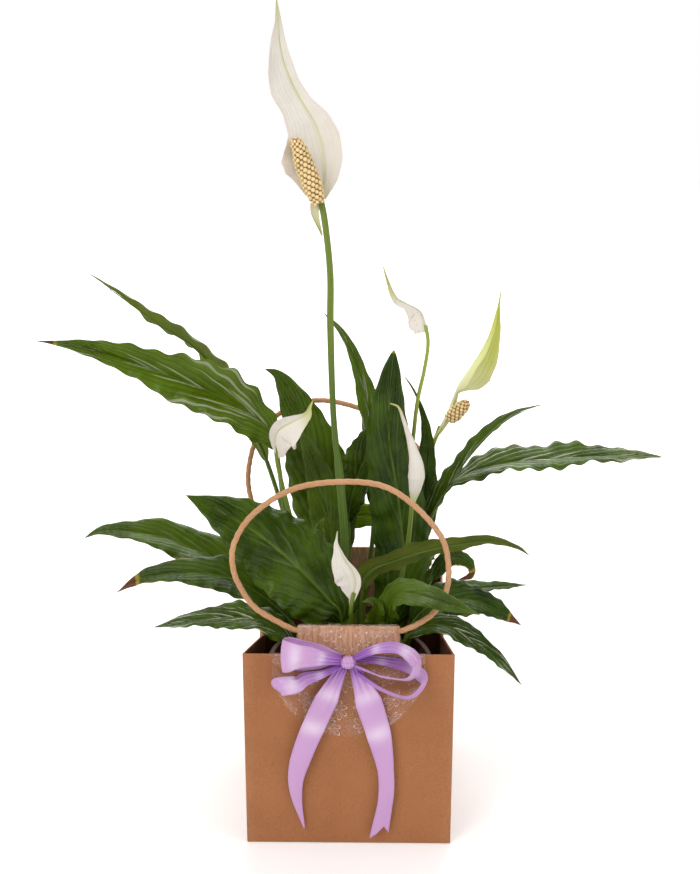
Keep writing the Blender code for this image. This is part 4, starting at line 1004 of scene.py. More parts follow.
# Each leaf: name, route from the crown to the tip in cm, half width in cm, where the blade starts
# along the route, the directions that the upper side faces, spread evenly from crown to tip, and
# the rise of the blade's edges above its midrib for each unit of half width.
LEAVES = [
    ("leaf_left_high", [(-2.2, 0.6, CROWN), (-3.9, 1.0, 19.0), (-4.9, 1.4, 22.5), (-5.4, 1.6, 26.4),
                        (-6.0, 1.9, 29.0), (-9.0, 2.0, 31.2), (-14.0, 2.0, 33.4), (-19.5, 2.0, 35.2),
                        (-23.6, 2.0, 35.8)],
     2.3, 0.45, [(0.6, -0.8, 0.5), (0.3, -0.6, 0.8)], 0.30),
    ("leaf_left_back", [(-3.0, 4.2, CROWN), (-4.8, 5.7, 19.0), (-7.6, 5.8, 28.0), (-11.2, 5.2, 34.0),
                        (-14.5, 5.0, 36.5), (-17.5, 5.0, 38.8), (-19.8, 5.0, 40.4)],
     1.5, 0.42, [(0.6, 0.5, 0.6), (0.5, 0.5, 0.7)], 0.30),
    ("leaf_left_front", [(-1.0, -2.6, CROWN), (-0.6, -4.4, 16.6), (-1.5, -4.8, 18.3), (-3.6, -5.0, 20.8),
                         (-6.3, -5.0, 23.2), (-9.1, -5.0, 25.0), (-11.5, -5.0, 26.2)],
     3.0, 0.27, [(0.3, -1.0, 0.5), (0.2, -0.9, 0.6)], 0.12),
    ("leaf_left_mid", [(-3.0, 0.6, CROWN), (-4.9, 1.3, 14.2), (-7.0, 1.8, 16.2), (-10.0, 2.5, 18.2),
                       (-12.4, 2.5, 19.4), (-15.0, 2.5, 20.4), (-18.8, 2.5, 20.8), (-20.7, 2.5, 20.1)],
     1.8, 0.26, [(0.3, -0.4, 0.9), (0.1, -0.6, 0.9)], 0.35),
    ("leaf_left_low", [(-2.9, -1.2, CROWN), (-4.4, -1.5, 14.8), (-6.5, -1.6, 17.1), (-9.2, -1.6, 18.6),
                       (-12.0, -1.6, 19.0), (-14.8, -1.6, 18.7), (-16.4, -1.6, 18.0), (-17.5, -1.6, 17.3)],
     1.6, 0.22, [(0.4, -0.5, 0.8), (0.0, -0.5, 0.9)], 0.35),
    ("leaf_left_rim", [(-2.6, -2.9, CROWN), (-4.0, -4.4, 14.6), (-5.8, -5.0, 16.4), (-7.4, -5.3, 17.0),
                       (-9.8, -5.3, 17.0), (-12.2, -5.3, 16.6), (-14.2, -5.3, 16.2)],
     1.4, 0.24, [(0.3, -0.4, 0.9), (0.0, -0.3, 0.9)], 0.30),
    ("leaf_centre_left", [(-1.6, 3.6, CROWN), (-1.4, 4.2, 17.6), (-2.1, 4.8, 22.5), (-3.0, 5.0, 26.6),
                          (-4.1, 5.0, 29.8), (-5.4, 4.8, 32.4), (-6.6, 4.4, 33.2)],
     2.5, 0.26, [(0.0, -1.0, 0.3), (0.2, -1.0, 0.3)], 0.12),
    ("leaf_centre_inner", [(-1.4, 1.4, CROWN), (-1.3, 2.0, 18.0), (-1.6, 2.4, 21.7), (-2.4, 2.8, 25.2),
                           (-3.5, 3.0, 28.0), (-4.2, 3.0, 29.2)],
     1.5, 0.30, [(0.0, -1.0, 0.2), (-0.2, -1.0, 0.3)], 0.16),
    ("leaf_centre_mid", [(0.6, 3.2, CROWN), (-0.2, 3.6, 18.0), (-0.1, 3.8, 22.0), (0.9, 3.8, 26.0),
                         (2.2, 3.6, 30.0)],
     2.0, 0.52, [(0.2, -1.0, 0.2), (0.2, -1.0, 0.2)], 0.20),
    ("leaf_back_arch", [(0.6, 4.4, CROWN), (1.6, 5.0, 18.0), (1.8, 5.2, 22.0), (1.6, 5.7, 28.0),
                        (0.8, 6.0, 32.0), (-0.6, 6.0, 35.4), (-2.2, 6.0, 37.3)],
     1.2, 0.40, [(0.3, -0.9, 0.2), (0.8, -0.5, 0.3)], 0.30),
    ("leaf_centre_right", [(2.4, 1.0, CROWN), (4.0, 1.5, 18.0), (3.9, 1.7, 21.5), (3.4, 1.8, 25.2),
                           (2.9, 1.8, 28.4), (2.9, 1.8, 31.6), (3.2, 1.8, 35.2)],
     2.0, 0.26, [(0.0, -1.0, 0.2), (-0.1, -1.0, 0.2)], 0.14),
    ("leaf_right_inner", [(2.6, 3.2, CROWN), (4.6, 3.9, 17.0), (5.4, 4.2, 21.1), (5.8, 4.3, 25.1),
                          (5.8, 4.4, 28.3), (5.1, 4.5, 30.9), (4.0, 4.5, 32.7), (2.8, 4.5, 33.4)],
     1.2, 0.34, [(-0.2, -1.0, 0.2), (0.5, -0.8, 0.5)], 0.16),
    ("leaf_right_arch", [(3.2, 1.8, CROWN), (4.6, 2.6, 18.2), (6.2, 3.0, 22.0), (7.6, 3.2, 24.5),
                         (8.9, 3.2, 26.6), (10.8, 3.2, 28.8), (12.6, 3.2, 30.1), (14.7, 3.2, 30.8)],
     1.0, 0.34, [(-0.5, -0.2, 0.8), (-0.4, -0.3, 0.9)], 0.55),
    ("leaf_right_long", [(3.6, 4.0, CROWN), (5.6, 4.8, 19.0), (7.0, 5.2, 22.4), (8.4, 5.6, 24.1),
                         (11.8, 6.0, 25.2), (16.4, 6.0, 25.7), (21.0, 6.0, 25.9), (24.5, 6.0, 25.8)],
     1.6, 0.42, [(-0.5, -0.2, 0.8), (0.0, -0.1, 1.0)], 0.30),
    ("leaf_right_under", [(1.1, -1.5, CROWN), (0.7, -2.7, 17.2), (1.4, -3.1, 19.7), (3.4, -3.3, 20.8),
                          (6.4, -3.4, 21.8), (9.8, -3.4, 22.3), (11.9, -3.4, 21.9), (13.1, -3.4, 21.1)],
     0.9, 0.34, [(0.0, 0.8, 0.6), (0.0, 0.7, 0.7)], 0.15),
    ("leaf_right_front", [(2.1, -3.0, CROWN), (2.6, -5.2, 16.2), (3.3, -6.8, 19.4), (5.0, -8.3, 20.1),
                          (7.0, -9.2, 19.8), (9.0, -9.8, 19.3)],
     1.2, 0.38, [(0.0, -0.6, 0.8), (0.0, -0.6, 0.8)], 0.25),
    ("leaf_front_dark", [(1.3, -3.6, CROWN), (1.7, -5.2, 15.8), (2.0, -6.2, 18.2), (1.6, -6.5, 18.9),
                         (0.9, -6.5, 18.8)],
     0.7, 0.50, [(0.3, -0.6, 0.8), (0.0, -0.8, 0.6)], 0.30),
    ("leaf_right_brown", [(3.4, -1.3, CROWN), (4.8, -1.8, 15.2), (6.4, -2.2, 17.0), (8.1, -2.4, 17.3),
                          (9.6, -2.4, 17.1), (11.2, -2.4, 16.3), (12.8, -2.4, 15.2)],
     1.6, 0.30, [(-0.2, -0.4, 0.9), (0.3, -0.6, 0.8)], 0.25),
    ("leaf_right_mid", [(3.8, 0.3, CROWN), (5.0, 0.5, 14.4), (6.4, 0.9, 15.9), (8.5, 1.4, 16.4),
                        (11.0, 1.6, 16.6), (13.8, 1.6, 16.8)],
     0.9, 0.36, [(-0.2, -0.3, 0.9), (0.0, -0.2, 1.0)], 0.35),
    ("leaf_right_droop", [(2.9, -2.9, CROWN), (4.0, -4.2, 14.6), (5.4, -5.2, 16.4), (7.1, -5.6, 16.6),
                          (8.8, -5.6, 15.6), (10.6, -5.6, 14.2), (12.6, -5.6, 11.9)],
     1.0, 0.30, [(0.0, -0.5, 0.9), (0.5, -0.5, 0.7)], 0.30),
    ("leaf_right_small", [(4.1, 1.5, CROWN), (4.8, 1.7, 14.5), (5.2, 1.9, 16.4), (6.6, 2.1, 18.2)],
     0.7, 0.36, [(-0.2, -1.0, 0.3), (-0.4, -1.0, 0.3)], 0.10),
    ("leaf_right_curled", [(4.4, 2.8, CROWN), (6.0, 4.0, 15.4), (7.4, 4.7, 17.4), (8.4, 5.0, 17.7),
                           (9.5, 5.1, 17.1), (9.6, 5.0, 16.2), (8.5, 4.9, 15.8)],
     0.7, 0.46, [(-0.6, -0.4, 0.6), (-0.2, -0.6, 0.6), (0.8, -0.6, 0.3)], 0.20),
    ("leaf_back_bright", [(-1.0, 4.9, CROWN), (-1.9, 6.2, 17.0), (-1.2, 6.5, 20.0), (0.4, 6.2, 20.8),
                          (3.0, 5.9, 20.7), (4.8, 5.8, 19.8)],
     1.2, 0.36, [(0.0, -1.0, 0.2), (0.0, -1.0, 0.4)], 0.16),
    ("leaf_young_rolled", [(-1.7, -0.9, CROWN), (-2.2, -1.0, 16.0), (-2.5, -1.1, 20.5), (-2.3, -1.2, 22.4),
                           (-1.8, -1.2, 23.3)],
     0.8, 0.62, [(0.2, -1.0, 0.2), (0.5, -0.8, 0.5)], 0.55),
    ("leaf_behind_left", [(-2.0, 3.6, CROWN), (-2.9, 4.6, 13.0), (-4.3, 6.6, 15.6), (-5.2, 8.6, 16.4),
                          (-5.8, 11.2, 15.2), (-6.2, 13.6, 12.6)],
     1.7, 0.40, [(0.2, -0.5, 0.9), (0.0, 0.3, 0.9), (-0.1, 0.8, 0.5)], 0.20),
    ("leaf_behind_right", [(1.8, 4.0, CROWN), (2.9, 4.9, 13.0), (4.3, 6.6, 15.4), (5.0, 8.6, 16.1),
                           (5.6, 11.4, 15.0), (6.2, 14.0, 12.4)],
     1.7, 0.40, [(-0.2, -0.5, 0.9), (0.0, 0.3, 0.9), (0.1, 0.8, 0.5)], 0.20),
]
# Places where a leaf differs: dry is how far its dry tip reaches back as a share of the blade, dry
# edge is how much of its edge is dry, painted streak is how pale its painted highlight streaks are,
# and tint how yellow it is.
LEAF_CHARACTER = {
    "leaf_left_high": {"painted_streak": 0.5, "tint": 0.22, "folds": (0.15, 1.1), "fall": 1.5, "ruffle": 2.2,
                       "sides": (0.95, 0.42), "dry": 0.08},
    "leaf_left_back": {"tint": 0.24, "painted_streak": 0.1, "sides": (1.15, 1.3), "ruffle": 2.0},
    "leaf_left_front": {"tint": 0.05},
    "leaf_left_mid": {"tint": 0.12, "painted_streak": 0.08, "quilt": 0.75},
    "leaf_left_low": {"dry": 0.12, "dry_edge": 0.25, "tint": 0.05},
    "leaf_left_rim": {"painted_streak": 0.95, "tint": 0.06},
    "leaf_centre_left": {"tint": 0.16},
    "leaf_centre_right": {"tint": 0.02, "fall": 0.72, "start": -0.16, "rise": 0.42, "sides": (1.12, 1.0)},
    "leaf_back_arch": {"painted_streak": 0.6, "tint": 0.2},
    "leaf_right_inner": {"tint": 0.05, "fall": 2.4},
    "leaf_right_arch": {"painted_streak": 0.4, "tint": 0.12, "ruffle": 1.8},
    "leaf_right_long": {"painted_streak": 0.75, "tint": 0.10, "folds": (0.55, 0.12), "fall": 0.9, "ruffle": 2.0},
    "leaf_right_under": {"tint": 0.10, "sides": (1.5, 1.5)},
    "leaf_right_brown": {"dry": 0.11, "dry_edge": 0.2, "tint": 0.0},
    "leaf_right_droop": {"painted_streak": 0.9, "tint": 0.06},
    "leaf_right_curled": {"dry": 0.2, "dry_edge": 0.5, "tint": 0.05},
    "leaf_right_small": {"tint": 0.08},
    "leaf_back_bright": {"tint": 0.95},
    "leaf_right_front": {"tint": 0.12},
    "leaf_centre_mid": {"sides": (0.9, 0.55)},
    "leaf_young_rolled": {"tint": 0.30, "painted_streak": 0.5},
}


# %% One leaf
def blade_outline(share, rise, fall):
    """Half width of a leaf's blade as a share of its widest: a long oval with a drawn-out tip. A larger
    fall draws the tip out further, and a smaller rise fills out the foot."""
    peak = rise / (rise + fall)
    return (share / peak) ** rise * ((1 - share) / (1 - peak)) ** fall


PETIOLE_WIDE = 0.0021
BLADE_THICK = 0.0006
PUFF = 0.0010


def make_leaf(index, name, points, half_width, blade_start, faces, fold):
    chance = random.Random(index * 7 + 3)
    own = LEAF_CHARACTER.get(name, {})
    spine = Spine(points, faces, 160)
    widest = half_width * CM
    waves = [chance.uniform(2.2, 3.6), chance.uniform(4.5, 6.5)]
    starts = [chance.uniform(0, 1) for _ in range(4)]
    tint = own.get("tint", chance.uniform(0.0, 0.14))
    rise = own.get("rise", 0.62)
    fall = own.get("fall", 1.10)
    folds = own.get("folds", (fold, fold))
    sides = own.get("sides", (1, 1))
    blade_start += own.get("start", 0.0)
    puff = PUFF * own.get("quilt", 1.0)

    def half(u):
        ragged = 1 + 0.03 * math.sin(2 * math.pi * (waves[1] * 1.9 * u + starts[3]))
        return widest * max(blade_outline(u, rise, fall), 0.0) * ragged

    def lift(u, across):
        wide = half(u)
        edge = abs(across)
        turn = 0 if across > 0 else 1
        slim = min(1.0, wide / 0.006)
        height = folds[1 - turn] * wide * edge ** 1.25 * min(1.0, u * 5)
        height -= 0.16 * wide * edge ** 4
        ripple = math.sin(2 * math.pi * (waves[0] * u + starts[turn])) * 0.11
        ripple += math.sin(2 * math.pi * (waves[1] * u + starts[2 + turn])) * 0.045
        height += wide * ripple * edge * edge
        ruffle = math.sin(2 * math.pi * (11 * u + starts[turn] * 3))
        height += wide * 0.05 * ruffle * edge ** 3 * own.get("ruffle", 1.0)
        quilt = abs(math.sin(math.pi * (VEINS * u - SWEEP * edge))) ** 0.7
        calm = ease(edge, 0.02, 0.16) * (1 - ease(edge, 0.86, 1.0)) * (1 - ease(u, 0.86, 1.0))
        height += puff * slim * quilt * calm * min(1.3, widest / 0.02)
        height -= 0.0009 * slim * (1 - ease(edge, 0.0, 0.10)) * (1 - ease(u, 0.7, 1.0))
        return height

    def marks(u, across):
        dry = 0.0
        if "dry" in own:
            dry = ease(u, 1 - own["dry"] * 1.6, 1 - own["dry"] * 0.5)
            dry = max(dry, own.get("dry_edge", 0.0) * ease(abs(across), 0.72, 1.0) * ease(u, 0.1, 0.5))
        tip = 0.5 * ease(u, 0.972, 1.0)
        # The second mark is the strength of the painted highlight streaks.
        return max(dry, tip), own.get("painted_streak", 0.05), tint

    bm = start_shape()
    lay_blade(bm, spine, 130, 8 + round(half_width * 3), lambda u: half(u) * sides[0],
              lambda u: half(u) * sides[1], lift, BLADE_THICK, start=blade_start,
              marks=marks)
    reach = blade_start + (1 - blade_start) * 0.9

    def petiole(u, turn):
        share = u * reach
        if share < blade_start:
            base = 1 + 0.55 * (1 - ease(share, 0.0, 0.14))
            return PETIOLE_WIDE * base * (1 - 0.18 * share / blade_start)
        left = 1 - (share - blade_start) / (reach - blade_start)
        return PETIOLE_WIDE * 0.82 * left ** 0.8 * 0.75 + 0.00022

    def drop(share):
        return PETIOLE_WIDE * 0.55 * ease(share, blade_start, blade_start + 0.08)

    lay_tube(bm, spine, 90, 10, petiole, end=reach, finish=2, drop=drop,
             marks=lambda u, turn: (0.5 * (1 - ease(u, 0.02, 0.22)), 0.0, 0.0))
    return finish_shape(name, bm, [LEAF_TOP, LEAF_UNDER, STALK], [name], sharp=75)


# %% Leaves
for index, (name, points, half_width, blade_start, faces, fold) in enumerate(LEAVES):
    leaf = make_leaf(index, name, points, half_width, blade_start, faces, fold)
print("leaves:", len(LEAVES), "with", len(leaf.data.polygons), "faces in the last")

# %% [markdown]
# ## Flower stems
# A flower stem is a smooth green rod. The tall one leaves a leaf's sheath partway up, so its lower
# half is thicker, and there the sheath's edge shows as a step.

# %% Flower stems
# Each stem: name, route from the crown to the flower in cm, radius in cm at the crown and the top.
STEMS = [
    ("stem_tall", [(-0.2, -0.2, CROWN), (-0.4, 0.0, 20.5), (-0.7, 0.0, 25.3), (-1.2, 0.0, 30.5),
                   (-1.4, 0.0, 37.0), (-1.4, 0.0, 41.0), (-1.75, 0.0, 44.6), (-2.1, 0.1, 46.4)], 0.42, 0.26),
    ("stem_back_right", [(2.0, 2.4, CROWN), (3.2, 2.8, 18.0), (4.5, 3.0, 26.0), (5.0, 3.0, 30.8),
                         (5.5, 3.0, 33.4), (5.75, 3.0, 35.4), (5.55, 3.0, 36.8)], 0.18, 0.14),
    ("stem_right", [(2.9, 3.7, CROWN), (4.0, 4.8, 14.0), (5.3, 5.5, 18.6), (6.2, 5.4, 23.6),
                    (6.2, 5.2, 26.2), (6.9, 5.1, 28.5)], 0.20, 0.18),
    ("stem_left", [(-2.7, -0.3, CROWN), (-3.2, -0.2, 18.0), (-4.5, 0.0, 23.0), (-5.3, 0.1, 26.6),
                   (-5.5, 0.15, 28.4)], 0.20, 0.16),
    ("stem_centre", [(2.0, -0.8, CROWN), (3.4, -0.8, 16.0), (4.3, -0.8, 21.0), (4.6, -0.8, 24.6)], 0.20,
     0.18),
    ("stem_front", [(0.4, -3.4, CROWN), (0.2, -5.0, 16.2), (0.15, -5.7, 17.9), (0.35, -5.8, 19.2)], 0.18,
     0.16),
]
SHEATH_TOP = 0.47
UPPER_PALE = {"stem_back_right": 0.8, "stem_right": 0.9}


def stem_radius(name, thick_start, thick_end):
    def radius(u, turn):
        wide = thick_start + (thick_end - thick_start) * u
        if name == "stem_tall":
            wide = 0.24 + 0.07 * (1 - ease(u, SHEATH_TOP - 0.03,
                                           SHEATH_TOP + 0.01 * math.sin(2 * math.pi * turn)))
        ribs = 1 + 0.025 * math.sin(2 * math.pi * turn * 9)
        return wide * CM * ribs * (0.96 + 0.04 * math.sin(u * 19))
    return radius


for name, points, thick_start, thick_end in STEMS:
    bm = start_shape()
    lay_tube(bm, Spine(points, [(0.1, -1, 0.1)] * 2, 120), 110, 36, stem_radius(name, thick_start, thick_end),
             marks=lambda u, turn: (0.3 * (1 - ease(u, 0.0,
                                                    0.3)) + UPPER_PALE.get(name,
                                                                           0.25) * ease(u, 0.45, 0.95), 0, 0))
    finish_shape(name, bm, [STALK], [name], sharp=75)
print("stems:", len(STEMS))

# %% [markdown]
# ## Flower hoods
# The white hood of the flower is a single leaf, thinner than the green ones, with many fine veins
# that run its whole length. It opens from a roll, so its two sides are rarely equal: one is spread
# and the other is still half folded. Each side gets its own widths. Old hoods turn green from the
# midrib and pink at the thin edge.

# %% Hood finish
def hood_finish(name, pale, green, pink):
    """Marks: first green, second pink and thin, third dark specks."""
    made, tree, shader = new_finish(name, Specular_IOR_Level=0.4, Roughness=0.5)
    parts = add(tree, "SeparateXYZ", {0: surface_place(tree)}).outputs
    green_share, pink_share, speck_share = marks_of(tree)
    bent = calc(tree, "MULTIPLY_ADD", calc(tree, "SINE", calc(tree, "MULTIPLY", parts[0], 3.1)), 1.2,
                calc(tree, "MULTIPLY", parts[1], 46.0))
    lines = calc(tree, "ABSOLUTE", calc(tree, "SINE", bent))
    lengthways = add(tree, "CombineXYZ", {0: calc(tree, "MULTIPLY", parts[0], 2.5),
                                          1: calc(tree, "MULTIPLY", parts[1], 34.0)}).outputs[0]
    fibres = add(tree, "TexNoise", {"Vector": lengthways, "Scale": 1.0, "Detail": 4.0},
                 noise_dimensions="2D").outputs[0]
    place = object_place(tree)
    cloud = add(tree, "TexNoise", {"Vector": place, "Scale": 60.0, "Detail": 4.0}).outputs[0]
    tone = blend_colours(tree, rescale(tree, cloud, 0.3, 0.7), (*pale, 1), (*[c * 0.93 for c in pale], 1))
    uneven = calc(tree, "ADD", green_share, calc(tree, "MULTIPLY_ADD", fibres, 0.5, -0.25))
    tone = blend_colours(tree, rescale(tree, uneven, 0.12, 0.9), tone, (*green, 1))
    tone = blend_colours(tree, calc(tree, "MULTIPLY", pink_share, 0.8), tone, (*pink, 1))
    tone = blend_colours(tree, calc(tree, "MULTIPLY", rescale(tree, lines, 0.30, 0.02), 0.22), tone,
                         (*[c * 0.72 for c in green], 1))
    specks = add(tree, "TexVoronoi", {"Vector": place, "Scale": 330.0}).outputs[0]
    tone = blend_colours(tree, calc(tree, "MULTIPLY", rescale(tree, specks, 0.26, 0.14), speck_share), tone,
                         (0.16, 0.10, 0.05, 1))
    tree.links.new(tone, shader["Base Color"])
    tree.links.new(rescale(tree, fibres, 0.2, 0.8, 0.42, 0.6), shader["Roughness"])
    relief = calc(tree, "ADD", calc(tree, "MULTIPLY", lines, 0.5), calc(tree, "MULTIPLY", fibres, 0.6))
    tree.links.new(bump(tree, relief, 0.45, 0.0004), shader["Normal"])
    return made


HOOD_WHITE = hood_finish("hood white", (0.87, 0.82, 0.74), (0.56, 0.58, 0.17), (0.82, 0.64, 0.55))
HOOD_AGED = hood_finish("hood aged", (0.84, 0.84, 0.50), (0.62, 0.66, 0.09), (0.78, 0.68, 0.40))
print("hood finishes ready")

# %% Open hoods
# Each open hood: name, midrib in cm, half widths to the left and to the right in cm, the ways that
# its inner side faces, the rise of its edges, and how green it is from foot to tip.
HOODS = [
    ("spathe_tall",
     [(-2.0, 0.6, 46.2), (-1.8, 0.9, 47.8), (-1.9, 1.0, 49.5), (-2.4, 0.9, 51.2), (-3.2, 0.7, 52.6),
      (-3.9, 0.5, 53.9), (-4.4, 0.3, 55.2), (-4.7, 0.1, 56.5), (-4.8, 0.0, 58.1), (-4.9, 0.0, 59.3)],
     [1.2, 2.8, 3.2, 2.9, 2.2, 1.7, 1.8, 1.45, 0.8, 0.3, 0.05],
     [0.3, 0.9, 1.25, 1.3, 1.05, 0.62, 0.5, 0.5, 0.4, 0.2, 0.05],
     [(0.2, -1.0, 0.15), (0.25, -1.0, 0.1), (0.5, -1.0, 0.0)], 0.30,
     [0.5, 0.12, 0.0, 0.0, 0.0, 0.05, 0.25, 0.7], HOOD_WHITE),
    ("spathe_back_right",
     [(5.6, 3.0, 36.3), (5.5, 3.0, 36.8), (5.1, 3.0, 37.8), (4.1, 3.0, 38.4), (3.4, 3.0, 38.8),
      (2.9, 3.0, 39.7),
      (2.4, 3.0, 41.1)],
     [0.8, 1.1, 1.1, 0.9, 0.4, 0.4, 0.28, 0.16, 0.1, 0.04],
     [0.08, 0.14, 0.15, 0.12, 0.1, 0.12, 0.12, 0.1, 0.06, 0.03],
     [(-0.3, -1.0, -0.2), (-0.3, -1.0, -0.4)], 0.4, [0.2, 0.0, 0.0, 0.2, 0.6, 0.85, 1.0], HOOD_WHITE),
    ("spathe_right",
     [(6.3, 5.1, 27.3), (7.4, 5.0, 29.5), (8.2, 5.0, 31.6), (9.4, 5.0, 33.5), (10.4, 4.95, 35.4),
      (10.95, 4.9, 37.5), (11.2, 4.8, 39.1)],
     [0.08, 0.25, 0.36, 0.32, 0.2, 1.0, 1.25, 1.1, 0.85, 0.58, 0.3, 0.1, 0.03],
     [0.08, 0.25, 0.36, 0.32, 0.2, 1.0, 1.25, 1.1, 0.85, 0.58, 0.3, 0.1, 0.03],
     [(0.8, -0.5, 0.0), (0.75, -0.6, 0.0)], 1.0, [0.1, 0.2, 0.3, 0.6, 0.8, 0.9], HOOD_AGED),
    ("bud_left",
     [(-5.2, 0.1, 27.4), (-5.5, 0.0, 28.4), (-5.45, -0.1, 29.2), (-5.0, -0.3, 29.8), (-4.1, -0.5, 30.35),
      (-3.2, -0.4, 30.8), (-2.9, -0.2, 31.4), (-2.7, 0.0, 31.8)],
     [0.1, 0.2, 0.3, 0.5, 0.65, 0.6, 0.4, 0.25, 0.12, 0.03],
     [0.35, 1.0, 1.5, 1.75, 1.75, 1.5, 1.0, 0.5, 0.15, 0.03],
     [(0.0, -1.0, 0.1), (0.1, -1.0, 0.2)], 0.42, [0.25, 0.0, 0.0, 0.05, 0.2, 0.7, 0.9], HOOD_WHITE),
    ("bud_front",
     [(0.1, -5.7, 18.1), (0.4, -5.75, 19.3), (0.5, -5.8, 20.0), (0.3, -5.85, 20.8), (-0.2, -5.85, 21.6),
      (-0.5, -5.8, 22.2), (-0.8, -5.7, 22.9), (-0.8, -5.7, 23.8)],
     [0.08, 0.25, 0.85, 1.2, 1.4, 1.35, 1.1, 0.8, 0.38, 0.12, 0.03],
     [0.08, 0.2, 0.3, 0.38, 0.42, 0.32, 0.2, 0.12, 0.08, 0.04, 0.02],
     [(-0.1, -1.0, 0.1), (-0.15, -1.0, 0.1)], 0.45, [0.3, 0.05, 0.0, 0.0, 0.0, 0.1, 0.5], HOOD_WHITE),
]


def make_hood(name, points, left, right, faces, fold, greens, finish):
    spine = Spine(points, faces, 140)
    chance = random.Random(len(name) * 11 + 5)
    starts = [chance.uniform(0, 1) for _ in range(3)]

    def lift(u, across):
        wide = along(right if across > 0 else left, u) * CM
        edge = abs(across)
        height = fold * wide * edge ** 1.4
        start = starts[0 if across > 0 else 1]
        height += 0.07 * wide * math.sin(2 * math.pi * (2.3 * u + start)) * edge * edge
        height += 0.05 * wide * math.sin(2 * math.pi * (5.2 * u + starts[2])) * edge ** 3
        height += 0.00018 * math.sin(2 * math.pi * 8 * edge) * min(1.0, wide / 0.01) * (1 - ease(u, 0.8, 1.0))
        height -= 0.0008 * (1 - ease(edge, 0.0, 0.12)) * min(1.0, wide / 0.008)
        return height

    def marks(u, across):
        midrib = 0.55 * (1 - ease(abs(across), 0.02, 0.14))
        green = max(along(greens, u), midrib)
        pink = 0.7 * ease(abs(across), 0.88, 1.0)
        return green, pink, 0.25 if name == "spathe_back_right" else 0.04

    bm = start_shape()
    lay_blade(bm, spine, 120, 12, lambda u: along(left, u) * CM, lambda u: along(right, u) * CM, lift, 0.0007,
              under=0, marks=marks)
    if name == "spathe_tall":
        flap = Spine([(-2.1, 0.5, 46.6), (-2.5, 0.3, 45.4), (-1.95, 0.3, 43.7)], [(-0.2, -1.0, 0.0)] * 2, 40)
        lay_blade(bm, flap, 30, 5, lambda u: along([0.5, 0.42, 0.25, 0.04], u) * CM,
                  lambda u: along([0.4, 0.3, 0.15, 0.04], u) * CM, lambda u, across: 0.0014 * across * across,
                  0.0007, under=0, marks=lambda u, across: (0.35 + 0.4 * u, 0.1, 0.0))
    return finish_shape(name, bm, [finish], [name], sharp=75)


for hood in HOODS:
    make_hood(*hood)
print("open hoods:", len(HOODS))

# %% [markdown]
# ## Closed hoods
# Before it opens, the hood is rolled round the spike like a scroll, and its free edge winds up the
# outside. The roll is a tube whose radius grows once round and then steps back at the free edge.

# %% Closed hoods
# The closed hood: name, route from its foot to its tip in cm, radii along it in cm.
BUDS = [
    ("bud_centre", [(4.65, -0.8, 24.2), (4.9, -0.8, 26.6), (4.5, -0.8, 28.6), (3.9, -0.8, 30.5),
                    (3.5, -0.8, 31.5), (2.9, -0.8, 31.8)],
     [0.15, 0.42, 0.60, 0.52, 0.36, 0.24, 0.15, 0.1, 0.04]),
]
WINDING = 0.7
ROLL_STEP = 0.16


def make_closed_hood(name, points, radii):
    def radius(u, turn):
        place = (turn + WINDING * u + 0.2) % 1.0
        step = place / 0.94 if place < 0.94 else (1 - place) / 0.06
        ridges = 1 + 0.012 * math.sin(2 * math.pi * 17 * turn)
        return along(radii, u) * CM * (1 - ROLL_STEP / 2 + ROLL_STEP * step) * ridges

    def marks(u, turn):
        edge = (turn + WINDING * u + 0.2) % 1.0
        thin = 0.55 * ease(edge, 0.86, 0.94) * (1 - ease(edge, 0.94, 0.97))
        green = 0.55 * (1 - ease(u, 0.0, 0.22)) + 0.75 * ease(u, 0.72, 1.0) + 0.12
        return min(green, 1.0), thin, 0.05

    bm = start_shape()
    lay_tube(bm, Spine(points, [(0.1, -1, 0.1)] * 2, 100), 100, 84, radius, marks=marks)
    return finish_shape(name, bm, [HOOD_WHITE], [name], sharp=50)


for name, points, radii in BUDS:
    make_closed_hood(name, points, radii)
print("closed hoods:", len(BUDS))

# %% [markdown]
# ## Flower spikes
# The spike carries the true flowers: hundreds of small knobs packed in a spiral. Each next knob is
# turned by the golden angle, which is how plants pack them evenly. A knob is a small sphere with few
# faces, because there are hundreds of them.

# %% Flower spikes
# Each spadix: name, foot and top in cm, radius in cm.
SPADICES = [
    ("spadix_tall", (-2.15, -0.35, 46.0), (-3.7, -0.8, 50.3), 0.52),
    ("spadix_right", (7.5, 4.4, 29.2), (8.9, 4.1, 30.7), 0.44),
]
GOLDEN_ANGLE = math.pi * (3 - math.sqrt(5))
KNOBS = {"spadix_tall": 175, "spadix_right": 80}
SPIKE_SWELL = 1.12


def spike_finish():
    made, tree, shader = new_finish("flower spike", Roughness=0.55, Subsurface_Weight=0.0)
    place = object_place(tree)
    grain = add(tree, "TexNoise", {"Vector": place, "Scale": 700.0, "Detail": 3.0}).outputs[0]
    cloud = add(tree, "TexNoise", {"Vector": place, "Scale": 90.0, "Detail": 3.0}).outputs[0]
    tip = marks_of(tree)[0]
    # Each knob is lighter at its top and darker at its foot: painted light and shade.
    tone = blend_colours(tree, tip, (0.50, 0.26, 0.08, 1), (0.97, 0.76, 0.40, 1))
    tone = blend_colours(tree, calc(tree, "MULTIPLY", rescale(tree, cloud, 0.45, 0.7), 0.4), tone,
                         (0.62, 0.56, 0.22, 1))
    tone = blend_colours(tree, calc(tree, "MULTIPLY", rescale(tree, grain, 0.55, 0.7), 0.25), tone,
                         (0.38, 0.20, 0.07, 1))
    tree.links.new(tone, shader["Base Color"])
    tree.links.new(bump(tree, grain, 0.4, 0.0003), shader["Normal"])
    return made


SPIKE = spike_finish()


